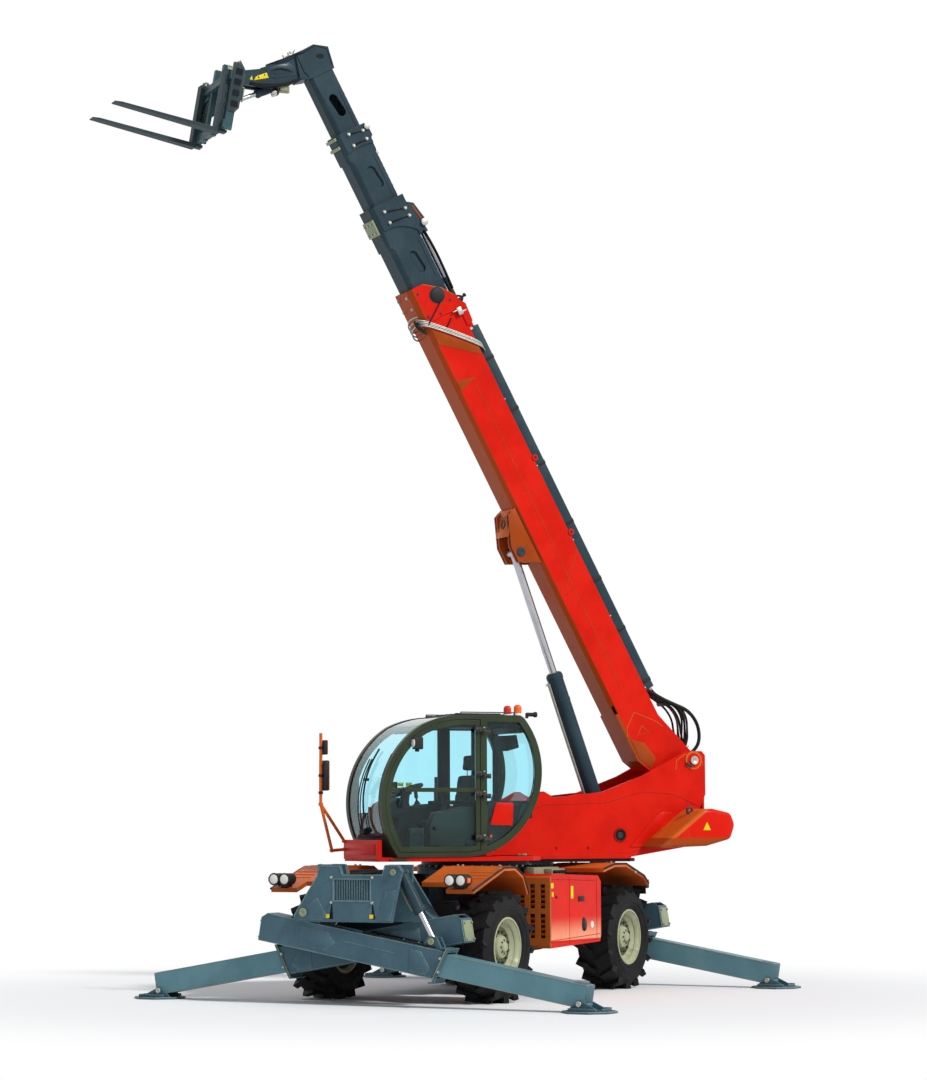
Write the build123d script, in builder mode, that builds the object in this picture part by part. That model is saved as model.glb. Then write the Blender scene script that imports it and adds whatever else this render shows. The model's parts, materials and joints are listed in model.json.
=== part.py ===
"""Slewing telehandler on four wheels and four scissor stabilisers, in millimetres.

The chassis points along +X and stands on z = 0. Four frames carry the pieces: the chassis, the
turret that slews on it, the boom that is pinned to the turret and the fork carriage at its tip.
In each frame x runs forward, y to the left and z up.
"""

import os
from math import atan2, cos, degrees, hypot, radians, sin

from build123d import *

os.makedirs("parts", exist_ok=True)

# ---- stance: where the slew axis stands and how the arm is held -------------------------------
SLEW_X = -306.0  # slew axis, measured from the middle of the whole machine's footprint
SLEW_Y = 128.0
SLEW_ANGLE = -37.5  # turret turned to the machine's right
BOOM_ANGLE = 61.5
FORK_ANGLE = 9.5

# ---- clearances ------------------------------------------------------------------------------
SEAT = 0.3  # between a pad, pin or ring and what slides or turns on it
RUNNING = 10.0  # between moving steelwork

# ---- wheels and axles ------------------------------------------------------------------------
WHEELBASE = 3010.0
TRACK = 1966.0
TYRE_RADIUS = 585.0
TYRE_WIDTH = 460.0
LUG_DEPTH = 34.0
LUG_COUNT = 16  # on each half of the tread
RIM_RADIUS = 286.0
RIM_WIDTH = 400.0
RIM_WALL = 22.0
DISC_INSET = 95.0  # wheel disc, in from the rim's outer edge
HUB_RADIUS = 150.0
SPINDLE_RADIUS = 60.0
KINGPIN_Y = 880.0
KINGPIN_RADIUS = 30.0
KNUCKLE_RADIUS = 68.0
KNUCKLE_HALF = 140.0
YOKE_EAR = 30.0
AXLE_RADIUS = 100.0

# ---- chassis ---------------------------------------------------------------------------------
FRAME_WIDTH = 780.0
FRAME_LOW = 740.0
FRAME_HIGH = 1040.0
RING_RADIUS = 600.0
DECK_HIGH = 1400.0  # top of the pedestal, under the slew ring
TURRET_LOW = 1475.0
FENDER_INNER = 500.0
FENDER_OUTER = 1220.0
FENDER_THICK = 46.0
FENDER_TOP = 1427.0
BOX_INNER = 430.0
BOX_OUTER = 1200.0
SKIN = 20.0
BOX_FLOOR = 585.0
BOX_FRONT = 535.0
BOX_REAR = -735.0

# ---- stabilisers -----------------------------------------------------------------------------
LEG_OUTBOARD_X = 2568.0  # the leg further from the middle of the machine
LEG_INBOARD_X = 2308.0
LEG_SLOPE = 9.8
LEG_WIDTH = 220.0
LEG_HEIGHT = 300.0
LEG_WALL = 12.0
LEG_AXIS = -242.0  # leg's centre line below its root pin
LEG_ROOT = -526.0  # ends of the outer leg, along it from the root pin
LEG_END = 1660.0
INNER_TAIL = 1080.0
INNER_END = 3310.0
INNER_WIDTH = 184.0
INNER_HEIGHT = 240.0
ROOT_PIN = (-580.0, 961.0)  # across and up
ROOT_PIN_RADIUS = 36.0
JACK_PIN = (500.0, 1380.0)
JACK_PIN_RADIUS = 26.0
JACK_FOOT = (1500.0, -28.0)  # along the leg and up from its root pin
JACK_BARREL_RADIUS = 62.0
JACK_BARREL_LENGTH = 472.0
JACK_ROD_RADIUS = 32.0
PAD_PIN = (3270.0, -318.0)
PAD_RADIUS = 280.0
PAD_THICK = 20.0
CHEEK = 28.0  # plates of the stabiliser frames

# ---- turret ----------------------------------------------------------------------------------
BOOM_Y = -200.0
CHEEK_GAP = 600.0  # between the two plates that hold the boom
CHEEK_THICK = 30.0
PIVOT_X = -2713.0
PIVOT_Z = 2591.0
PIVOT_RADIUS = 50.0
LIFT_FOOT = (-1755.0, 1738.0)
LIFT_HEAD = (3081.0, -742.0)  # along the boom and up from its pivot
LIFT_PIN_RADIUS = 36.0
LIFT_BARREL_RADIUS = 90.0
LIFT_BARREL_LENGTH = 1955.0
LIFT_ROD_RADIUS = 45.0
LIFT_ROD_LENGTH = 1930.0

# ---- cab -------------------------------------------------------------------------------------
CAB_RIGHT = 200.0
CAB_LEFT = 1200.0
CAB_FLOOR = 1520.0
CAB_ROOF = 3042.0
PILLAR = 60.0
GLASS = 6.0
DOOR_BAR = 435.0  # bar that carries the door's hinges
DOOR_THICK = 38.0
DOOR_GAP = 6.0
WAIST = 2235.0
HINGE_Y = 1226.0
HINGE_PIN = 9.0
HINGE_HEIGHTS = (1715.0, 2185.0, 2400.0, 2870.0)

# ---- boom: each section's end along the boom, length, width, underside and top ---------------
BOOM_WALL = 10.0
BOOM_BEVEL = 42.0  # lower edges of every tube, cut off at 45 degrees
COLLAR = 16.0
SECTIONS = {
    # name: (end, length, width, low, high)
    "boom_base": (6290.0, 5990.0, 390.0, -575.0, -85.0),
    "boom_section_1": (7300.0, 5700.0, 330.0, -540.0, -118.0),
    "boom_section_2": (8200.0, 5600.0, 278.0, -510.0, -148.0),
    "boom_section_3": (9020.0, 5450.0, 230.0, -482.0, -176.0),
}

# ---- head, carriage and forks ----------------------------------------------------------------
HEEL = (3147.0, 9385.0)
CARRIAGE_PIN = (-221.0, 782.0)  # in the fork frame, from the heel
TILT_HEAD = (-208.0, 496.0)
TILT_FOOT = (2190.0, 10135.0)  # in the turret frame
TILT_PIN_RADIUS = 18.0
TILT_BARREL_RADIUS = 48.0
TILT_BARREL_LENGTH = 400.0
TILT_ROD_RADIUS = 25.0
ARM_WIDTH = 190.0
CARRIAGE_WIDTH = 1060.0
FORK_LENGTH = 1210.0
FORK_WIDTH = 120.0
FORK_THICK = 48.0
FORK_SPREAD = 800.0
SHANK_HIGH = 700.0


# ---- frames and small helpers ----------------------------------------------------------------
def tilted(frame, x, y, z, angle):
    """A frame at a point of another frame, with its x axis raised by an angle."""
    forward = frame.x_dir * cos(radians(angle)) + frame.z_dir * sin(radians(angle))
    up = frame.z_dir * cos(radians(angle)) - frame.x_dir * sin(radians(angle))
    return Plane(origin=frame.from_local_coords((x, y, z)), x_dir=forward, z_dir=up)


def side(frame, y=0.0):
    """Sketch plane with x forward and y up, facing the frame's right."""
    return Plane(origin=frame.from_local_coords((0, y, 0)), x_dir=frame.x_dir, z_dir=-frame.y_dir)


def across(frame, x=0.0):
    """Sketch plane with x to the left and y up, facing forward."""
    return Plane(origin=frame.from_local_coords((x, 0, 0)), x_dir=frame.y_dir, z_dir=frame.x_dir)


def level(frame, z=0.0):
    """Sketch plane with x forward and y to the left, facing up."""
    return Plane(origin=frame.from_local_coords((0, 0, z)), x_dir=frame.x_dir, z_dir=frame.z_dir)


def slab(plane, points, thickness, mode=Mode.ADD):
    """A plate of a given outline, half its thickness on each side of the plane."""
    with BuildSketch(plane) as outline:
        Polygon(*points, align=None)
    extrude(outline.sketch, amount=thickness / 2, both=True, mode=mode)


def bar(plane, centre, radius, length, mode=Mode.ADD):
    """A round bar through a plane, half its length on each side."""
    with BuildSketch(plane) as outline:
        with Locations(centre):
            Circle(radius)
    extrude(outline.sketch, amount=length / 2, both=True, mode=mode)


def block(plane, low, high, start, stop, mode=Mode.ADD):
    """A block over the rectangle low..high of a plane, from start to stop along its normal."""
    lift = plane.offset(start)
    with BuildSketch(lift) as outline:
        with Locations(((low[0] + high[0]) / 2, (low[1] + high[1]) / 2)):
            Rectangle(high[0] - low[0], high[1] - low[1])
    extrude(outline.sketch, amount=stop - start, mode=mode)


def reach(start, stop):
    """Length and angle of the line between two points of a plane."""
    run, rise = stop[0] - start[0], stop[1] - start[1]
    return hypot(run, rise), degrees(atan2(rise, run))


def in_parent(frame_angle, origin, point):
    """A point of a tilted frame, in the frame that it is tilted in."""
    turn = radians(frame_angle)
    return (
        origin[0] + point[0] * cos(turn) - point[1] * sin(turn),
        origin[1] + point[0] * sin(turn) + point[1] * cos(turn),
    )


CHASSIS = Plane(origin=(SLEW_X, SLEW_Y, 0))
TURRET = Plane(
    origin=(SLEW_X, SLEW_Y, 0),
    x_dir=(cos(radians(SLEW_ANGLE)), sin(radians(SLEW_ANGLE)), 0),
    z_dir=(0, 0, 1),
)
BOOM = tilted(TURRET, PIVOT_X, BOOM_Y, PIVOT_Z, BOOM_ANGLE)
FORK = tilted(TURRET, HEEL[0], BOOM_Y, HEEL[1], FORK_ANGLE)

# ---- chassis frame, pedestal and slew ring ---------------------------------------------------
HALF_BASE = WHEELBASE / 2
SLOT = LEG_WIDTH + 2 * RUNNING  # each leg swings in a slot between two plates
FRAME_END = LEG_INBOARD_X - SLOT / 2 - CHEEK
BELLY = 760.0  # half the length of the deep middle of the frame
RING_TOP = TURRET_LOW - SEAT
FRONT_ARM_X = 1510.0  # arms that carry the fenders
REAR_ARM_X = -1215.0
ARM_HALF = 60.0

with BuildPart() as chassis_frame:
    deep = level(CHASSIS)
    half_width = FRAME_WIDTH / 2
    block(deep, (-FRAME_END, -half_width), (FRAME_END, half_width), FRAME_LOW, FRAME_HIGH)
    block(deep, (-BELLY, -half_width), (BELLY, half_width), BOX_FLOOR - SKIN, FRAME_LOW)
    with BuildSketch(level(CHASSIS, FRAME_HIGH)) as foot:
        Rectangle(1500, FRAME_WIDTH - 40)
    with BuildSketch(level(CHASSIS, DECK_HIGH - 80)) as shoulder:
        RegularPolygon(RING_RADIUS + 20, 8, rotation=22.5)
    loft([foot.sketch.face(), shoulder.sketch.face()])
    bar(level(CHASSIS, DECK_HIGH - 40), (0, 0), RING_RADIUS + 45, 80)
    bar(level(CHASSIS, (DECK_HIGH + RING_TOP) / 2), (0, 0), RING_RADIUS, RING_TOP - DECK_HIGH)
    for hand in (1, -1):
        # floor under each side box
        inner, outer = sorted((hand * half_width, hand * (BOX_OUTER - SKIN)))
        block(deep, (BOX_REAR + SKIN, inner), (BOX_FRONT - SKIN, outer), BOX_FLOOR - SKIN, BOX_FLOOR)
        for arm_x in (FRONT_ARM_X, REAR_ARM_X):
            block(deep, (arm_x - ARM_HALF, hand * 330 - 50), (arm_x + ARM_HALF, hand * 330 + 50),
                  FRAME_HIGH, FENDER_TOP - FENDER_THICK)
            inner, outer = sorted((hand * 330, hand * (FENDER_INNER + 160)))
            block(deep, (arm_x - ARM_HALF, inner), (arm_x + ARM_HALF, outer),
                  FENDER_TOP - FENDER_THICK - SKIN, FENDER_TOP - FENDER_THICK)
chassis_frame.part.label = "chassis_frame"
export_step(chassis_frame.part, "parts/chassis_frame.step")

# ---- stabiliser frames: three plates at each end, with the pins of the two legs --------------
# across and up, for the plate outboard of both legs
OUTER_CHEEK = (
    (-700, 865), (-700, 940), (-425, 1340), (-400, 1450), (-140, 1450), (-110, 1355),
    (370, 1355), (395, 1455), (560, 1455), (605, 1390), (572, 1300), (474, 865),
)
MIDDLE_CHEEK = (
    (-700, 865), (-700, 940), (-560, 1150), (-575, 1455), (-400, 1455), (-370, 1355),
    (370, 1355), (400, 1455), (575, 1455), (560, 1150), (700, 940), (700, 865),
)
INNER_CHEEK = tuple((-across_x, up) for across_x, up in OUTER_CHEEK)
CHEEKS = {
    # place along the machine: outline
    LEG_OUTBOARD_X + SLOT / 2 + CHEEK / 2: OUTER_CHEEK,
    (LEG_OUTBOARD_X + LEG_INBOARD_X) / 2: MIDDLE_CHEEK,
    LEG_INBOARD_X - SLOT / 2 - CHEEK / 2: INNER_CHEEK,
}
MIDDLE_THICK = LEG_OUTBOARD_X - LEG_INBOARD_X - SLOT
PIN_END = 20.0  # that a pin stands out of its outer plate
GRILLE = (210.0, 1090.0, 1300.0)  # half width, low and high
GRILLE_SLATS = 13

with BuildPart() as stabiliser_frames:
    for turn in (0, 180):
        end_frame = Plane(CHASSIS.origin, x_dir=(cos(radians(turn)), 0, 0), z_dir=(0, 0, 1))
        for place, outline in CHEEKS.items():
            thick = MIDDLE_THICK if outline is MIDDLE_CHEEK else CHEEK
            slab(across(end_frame, place), outline, thick)
        block(level(end_frame), (LEG_INBOARD_X - SLOT / 2 - 1, -330), (LEG_OUTBOARD_X + SLOT / 2 + 1, 330),
              1325, 1345)
        # a barred window and two slots in the outboard plate
        front = across(end_frame, LEG_OUTBOARD_X + SLOT / 2 + CHEEK / 2)
        half, low, high = GRILLE
        block(front, (-half, low), (half, high), -CHEEK, CHEEK, Mode.SUBTRACT)
        pitch = 2 * half / (GRILLE_SLATS + 1)
        for slat in range(GRILLE_SLATS + 2):
            middle = -half + slat * pitch
            block(front, (middle - 8, low - 4), (middle + 8, high + 4), -8, CHEEK / 2)
        for hand in (1, -1):
            slab(front, [(hand * 235, 1060), (hand * 250, 1060), (hand * 285, 895), (hand * 225, 895)],
                 3 * CHEEK, Mode.SUBTRACT)
        # root pins and jack pins, from outside the outer plate to the far face of the middle one
        for leg_x, hand in ((LEG_OUTBOARD_X, 1), (LEG_INBOARD_X, -1)):
            length = SLOT + CHEEK + PIN_END + MIDDLE_THICK
            middle = leg_x + hand * (CHEEK + PIN_END - MIDDLE_THICK) / 2
            bar(across(end_frame, middle), (hand * ROOT_PIN[0], ROOT_PIN[1]), ROOT_PIN_RADIUS, length)
            bar(across(end_frame, middle), (hand * JACK_PIN[0], JACK_PIN[1]), JACK_PIN_RADIUS, length)
stabiliser_frames.part.label = "stabiliser_frames"
export_step(stabiliser_frames.part, "parts/stabiliser_frames.step")

# ---- axle beams with their differential and the yokes that hold the knuckles -----------------
DIFFERENTIAL_RADIUS = 150.0
YOKE_WEB = 150.0  # from the kingpin in to the yoke's web

with BuildPart() as axle_beams:
    for axle_x in (HALF_BASE, -HALF_BASE):
        axle = Plane(CHASSIS.from_local_coords((axle_x, 0, TYRE_RADIUS)))
        web = KINGPIN_Y - YOKE_WEB
        bar(side(axle), (0, 0), AXLE_RADIUS, 2 * web)
        bar(side(axle), (0, 0), DIFFERENTIAL_RADIUS, 300)
        with Locations(axle.from_local_coords((0, 0, 0))):
            Sphere(DIFFERENTIAL_RADIUS + 18)
        block(level(CHASSIS), (axle_x - 200, -200), (axle_x + 200, 200), FRAME_LOW - 1, FRAME_LOW + 30,
              Mode.SUBTRACT)
        for hand in (1, -1):
            block(level(CHASSIS), (axle_x - 90, hand * 270 - 70), (axle_x + 90, hand * 270 + 70),
                  TYRE_RADIUS, FRAME_LOW)
            ear_low = KNUCKLE_HALF + 5
            ear_high = ear_low + YOKE_EAR
            inner, outer = sorted((hand * (web - 60), hand * (web + 10)))
            block(level(axle), (-80, inner), (80, outer), -ear_high, ear_high)
            for rise in (1, -1):
                ear = level(axle, rise * (ear_low + YOKE_EAR / 2))
                bar(ear, (0, hand * KINGPIN_Y), KNUCKLE_RADIUS, YOKE_EAR)
                inner, outer = sorted((hand * (web - 60), hand * KINGPIN_Y))
                block(ear, (-KNUCKLE_RADIUS, inner), (KNUCKLE_RADIUS, outer), -YOKE_EAR / 2, YOKE_EAR / 2)
                bar(level(axle, rise * (ear_high - 50)), (0, hand * KINGPIN_Y), KINGPIN_RADIUS, 100)
axle_beams.part.label = "axle_beams"
export_step(axle_beams.part, "parts/axle_beams.step")

# ---- wheels: knuckle, rim and tyre -----------------------------------------------------------
WHEELS = {
    # name: (end, hand)
    "front_left": (1, 1),
    "front_right": (1, -1),
    "rear_left": (-1, 1),
    "rear_right": (-1, -1),
}
HUB_INNER = -20.0  # hub's inner face, from the middle of the tyre
DISC_OUTER = RIM_WIDTH / 2 - DISC_INSET
DISC_THICK = 16.0
KNUCKLE_X = KINGPIN_Y - TRACK / 2
FLANGE_OUTER = HUB_INNER - 6

# out from the middle of the tyre, and radius
RIM_SECTION = (
    (-RIM_WIDTH / 2, RIM_RADIUS + 26), (-RIM_WIDTH / 2 + 14, RIM_RADIUS + 26),
    (-RIM_WIDTH / 2 + 26, RIM_RADIUS), (RIM_WIDTH / 2 - 26, RIM_RADIUS),
    (RIM_WIDTH / 2 - 14, RIM_RADIUS + 26), (RIM_WIDTH / 2, RIM_RADIUS + 26),
    (RIM_WIDTH / 2, RIM_RADIUS + 8), (RIM_WIDTH / 2 - 30, RIM_RADIUS - RIM_WALL),
    (DISC_OUTER + 40, RIM_RADIUS - RIM_WALL - 12), (DISC_OUTER, RIM_RADIUS - 70),
    (DISC_OUTER, HUB_RADIUS - 20), (DISC_OUTER + 34, HUB_RADIUS - 34), (DISC_OUTER + 50, HUB_RADIUS - 70),
    (DISC_OUTER + 50, 0), (70, 0), (70, SPINDLE_RADIUS + SEAT), (HUB_INNER, SPINDLE_RADIUS + SEAT),
    (HUB_INNER, HUB_RADIUS), (DISC_OUTER - DISC_THICK, HUB_RADIUS),
    (DISC_OUTER - DISC_THICK, RIM_RADIUS - 78), (DISC_OUTER + 20, RIM_RADIUS - RIM_WALL - 16),
    (DISC_OUTER - 10, RIM_RADIUS - RIM_WALL), (-RIM_WIDTH / 2 + 30, RIM_RADIUS - RIM_WALL),
    (-RIM_WIDTH / 2, RIM_RADIUS + 8),
)
TREAD_RADIUS = TYRE_RADIUS - LUG_DEPTH
TYRE_HALF = (
    (-14, RIM_RADIUS), (-RIM_WIDTH / 2 + 26, RIM_RADIUS), (-RIM_WIDTH / 2 + 14, RIM_RADIUS + 26),
    (-RIM_WIDTH / 2, RIM_RADIUS + 26), (-TYRE_WIDTH / 2, 400), (-TYRE_WIDTH / 2 + 8, 485),
    (-TYRE_WIDTH / 2 + 42, TREAD_RADIUS - 14), (-14, TREAD_RADIUS),
)
TYRE_SECTION = TYRE_HALF + tuple((-out, radius) for out, radius in reversed(TYRE_HALF))

for name, (end, hand) in WHEELS.items():
    centre = CHASSIS.from_local_coords((end * HALF_BASE, hand * TRACK / 2, TYRE_RADIUS))
    wheel = Plane(centre, x_dir=(0, hand, 0), z_dir=(0, 0, 1))  # x points outwards
    spin = Axis(centre, (0, hand, 0))

    with BuildPart() as knuckle:
        bar(level(wheel), (KNUCKLE_X, 0), KNUCKLE_RADIUS, 2 * KNUCKLE_HALF)
        bar(across(wheel, (KNUCKLE_X + FLANGE_OUTER) / 2), (0, 0), 132, FLANGE_OUTER - KNUCKLE_X)
        bar(across(wheel, (FLANGE_OUTER + 60) / 2), (0, 0), SPINDLE_RADIUS, 60 - FLANGE_OUTER)
        bar(level(wheel), (KNUCKLE_X, 0), KINGPIN_RADIUS + SEAT, 3 * KNUCKLE_HALF, Mode.SUBTRACT)
    knuckle.part.label = f"knuckle_{name}"
    export_step(knuckle.part, f"parts/knuckle_{name}.step")

    with BuildPart() as rim:
        with BuildSketch(side(wheel)) as section:
            Polygon(*RIM_SECTION, align=None)
        revolve(section.sketch, axis=spin)
    rim.part.label = f"rim_{name}"
    export_step(rim.part, f"parts/rim_{name}.step")

    with BuildPart(Plane(centre, x_dir=(0, 0, -1), z_dir=(0, hand, 0))) as tyre:
        for half_tread, start in ((1, 0), (-1, 180 / LUG_COUNT)):
            with PolarLocations(TREAD_RADIUS, LUG_COUNT, start_angle=start):
                with Locations((0, 0, half_tread * 118)):
                    Box(2 * LUG_DEPTH + 30, 62, 235, rotation=(half_tread * 32, 0, 0))
        with Locations((0, 0, 0)):
            Cylinder(TYRE_RADIUS, TYRE_WIDTH + 10, mode=Mode.INTERSECT)
            Cylinder(RIM_RADIUS + 60, TYRE_WIDTH + 30, mode=Mode.SUBTRACT)
        with BuildSketch(side(wheel)) as section:
            Polygon(*TYRE_SECTION, align=None)
        revolve(section.sketch, axis=spin)
    tyre.part.label = f"tyre_{name}"
    export_step(tyre.part, f"parts/tyre_{name}.step")

# ---- fenders over the wheels -----------------------------------------------------------------
# forward from the slew axis, and up, along the top of each fender
FRONT_FENDER = ((2340, 1200), (1740, 1395), (1640, FENDER_TOP), (1390, FENDER_TOP), (1185, 1330), (1080, 1140))
FENDER_NOSE = 2130.0
JACK_CLEAR = 900.0
REAR_FENDER = ((-765, 1372), (-1060, FENDER_TOP), (-1365, FENDER_TOP), (-1850, 1280), (-1975, 1190))

with BuildPart() as fenders:
    for hand in (1, -1):
        middle = side(CHASSIS, hand * (FENDER_INNER + FENDER_OUTER) / 2)
        for top in (FRONT_FENDER, REAR_FENDER):
            with BuildSketch(middle) as section:
                with BuildLine():
                    FilletPolyline(*top, radius=60)
                    offset(amount=FENDER_THICK, side=Side.LEFT)
                make_face()
            extrude(section.sketch, amount=(FENDER_OUTER - FENDER_INNER) / 2, both=True)
        # the nose of the front fender clears the jack beside it
        inner, outer = sorted((hand * (FENDER_INNER - 10), hand * JACK_CLEAR))
        block(level(CHASSIS), (FENDER_NOSE, inner), (FENDER_NOSE + 300, outer), 1000, FENDER_TOP, Mode.SUBTRACT)
fenders.part.label = "fenders"
export_step(fenders.part, "parts/fenders.step")

# ---- twin headlamps on the front fenders -----------------------------------------------------
LAMP_RADIUS = 62.0
LAMP_X = 2290.0
LAMP_DEPTH = 140.0
LAMP_Z = 1296.0
LAMP_Y = (995.0, 1125.0)

with BuildPart() as headlamps:
    for hand in (1, -1):
        for lamp_y in LAMP_Y:
            bar(across(CHASSIS, LAMP_X + LAMP_DEPTH / 2), (hand * lamp_y, LAMP_Z), LAMP_RADIUS, LAMP_DEPTH)
        inner, outer = sorted((hand * LAMP_Y[0], hand * LAMP_Y[1]))
        block(level(CHASSIS), (LAMP_X - 20, inner), (LAMP_X + 60, outer), LAMP_Z - 100, LAMP_Z + 40)
    add(fenders.part, mode=Mode.SUBTRACT)
    block(level(CHASSIS), (LAMP_X - 40, -1300), (LAMP_X + 200, 1300), 1000, LAMP_Z - LAMP_RADIUS - 16,
          Mode.SUBTRACT)
headlamps.part.label = "headlamps"
export_step(headlamps.part, "parts/headlamps.step")

# ---- side boxes: engine hood on the left, tank on the right ----------------------------------
# forward and up, around the box
BOX_OUTLINE = (
    (BOX_REAR, 640), (BOX_REAR + 25, BOX_FLOOR - SKIN), (BOX_FRONT - 10, 530), (BOX_FRONT, 560),
    (BOX_FRONT, 1290), (BOX_FRONT - 60, 1330), (BOX_REAR + 70, 1295), (BOX_REAR, 1230),
)
LOUVRES = 5
SHOULDER_Z = 1100.0  # the box steps back under the pedestal's shoulder
SHOULDER_Y = 660.0

with BuildPart() as engine_hood:
    slab(side(CHASSIS, (BOX_INNER + BOX_OUTER) / 2), BOX_OUTLINE, BOX_OUTER - BOX_INNER)
    with BuildSketch(side(CHASSIS, (BOX_INNER + BOX_OUTER) / 2 - SKIN)) as inside:
        Polygon(*BOX_OUTLINE, align=None)
        offset(amount=-SKIN, mode=Mode.REPLACE)
    extrude(inside.sketch, amount=(BOX_OUTER - BOX_INNER) / 2, both=True, mode=Mode.SUBTRACT)
    block(level(CHASSIS), (BOX_REAR + SKIN, BOX_INNER - 1), (BOX_FRONT - SKIN, BOX_OUTER - SKIN),
          400, BOX_FLOOR, Mode.SUBTRACT)
    block(level(CHASSIS), (BOX_REAR - 1, BOX_INNER - 1), (BOX_FRONT + 1, SHOULDER_Y), SHOULDER_Z, 1400,
          Mode.SUBTRACT)
    # louvred front face
    front = across(CHASSIS, BOX_FRONT)
    for row in range(2):
        for louvre in range(LOUVRES):
            middle = 610 + louvre * 125
            block(front, (middle - 30, 640 + row * 320), (middle + 30, 900 + row * 320), -2 * SKIN, 1,
                  Mode.SUBTRACT)
engine_hood.part.label = "engine_hood"
export_step(engine_hood.part, "parts/engine_hood.step")

with BuildPart() as engine_block:
    block(level(CHASSIS), (-560, 520), (330, 1080), BOX_FLOOR, 1180)
engine_block.part.label = "engine_block"
export_step(engine_block.part, "parts/engine_block.step")

with BuildPart() as tank_box:
    slab(side(CHASSIS, -(BOX_INNER + BOX_OUTER) / 2), BOX_OUTLINE, BOX_OUTER - BOX_INNER)
    block(level(CHASSIS), (BOX_REAR + SKIN, -BOX_OUTER + SKIN), (BOX_FRONT - SKIN, -BOX_INNER + 1),
          400, BOX_FLOOR, Mode.SUBTRACT)
    block(level(CHASSIS), (BOX_REAR - 1, -SHOULDER_Y), (BOX_FRONT + 1, -BOX_INNER + 1), SHOULDER_Z, 1400,
          Mode.SUBTRACT)
    # two steps let into the outer face
    for step_z in (BOX_FLOOR + 120, BOX_FLOOR + 400):
        block(level(CHASSIS), (-250, -BOX_OUTER - 1), (150, -BOX_OUTER + 150), step_z, step_z + 200,
              Mode.SUBTRACT)
tank_box.part.label = "tank_box"
export_step(tank_box.part, "parts/tank_box.step")

# ---- stabilisers: outer leg, inner leg, pad and jack -----------------------------------------
LEGS = {
    # name: (end, place along the machine, hand)
    "front_left": (1, LEG_OUTBOARD_X, 1),
    "front_right": (1, LEG_INBOARD_X, -1),
    "rear_left": (-1, LEG_INBOARD_X, 1),
    "rear_right": (-1, LEG_OUTBOARD_X, -1),
}
LEG_LOW = LEG_AXIS - LEG_HEIGHT / 2
LEG_HIGH = LEG_AXIS + LEG_HEIGHT / 2
INNER_LOW = LEG_AXIS - INNER_HEIGHT / 2
INNER_HIGH = LEG_AXIS + INNER_HEIGHT / 2
MOUTH = ((LEG_END - 75, LEG_LOW - 48), (LEG_END - 45, LEG_LOW - 48), (LEG_END + 75, LEG_HIGH + 32),
         (LEG_END + 45, LEG_HIGH + 32))
MOUTH_PROUD = 12.0
FOOT_EYE_HALF = 28.0
JACK_EAR = 22.0
FOOT_IN_LEG = in_parent(-LEG_SLOPE, ROOT_PIN, JACK_FOOT)
JACK_LENGTH, JACK_ANGLE = reach(JACK_PIN, FOOT_IN_LEG)
JACK_ROD_LENGTH = 468.0
PAD_IN_LEG = in_parent(-LEG_SLOPE, ROOT_PIN, PAD_PIN)
PAD_PIN_RADIUS = 22.0
PAD_EAR = 16.0

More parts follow.
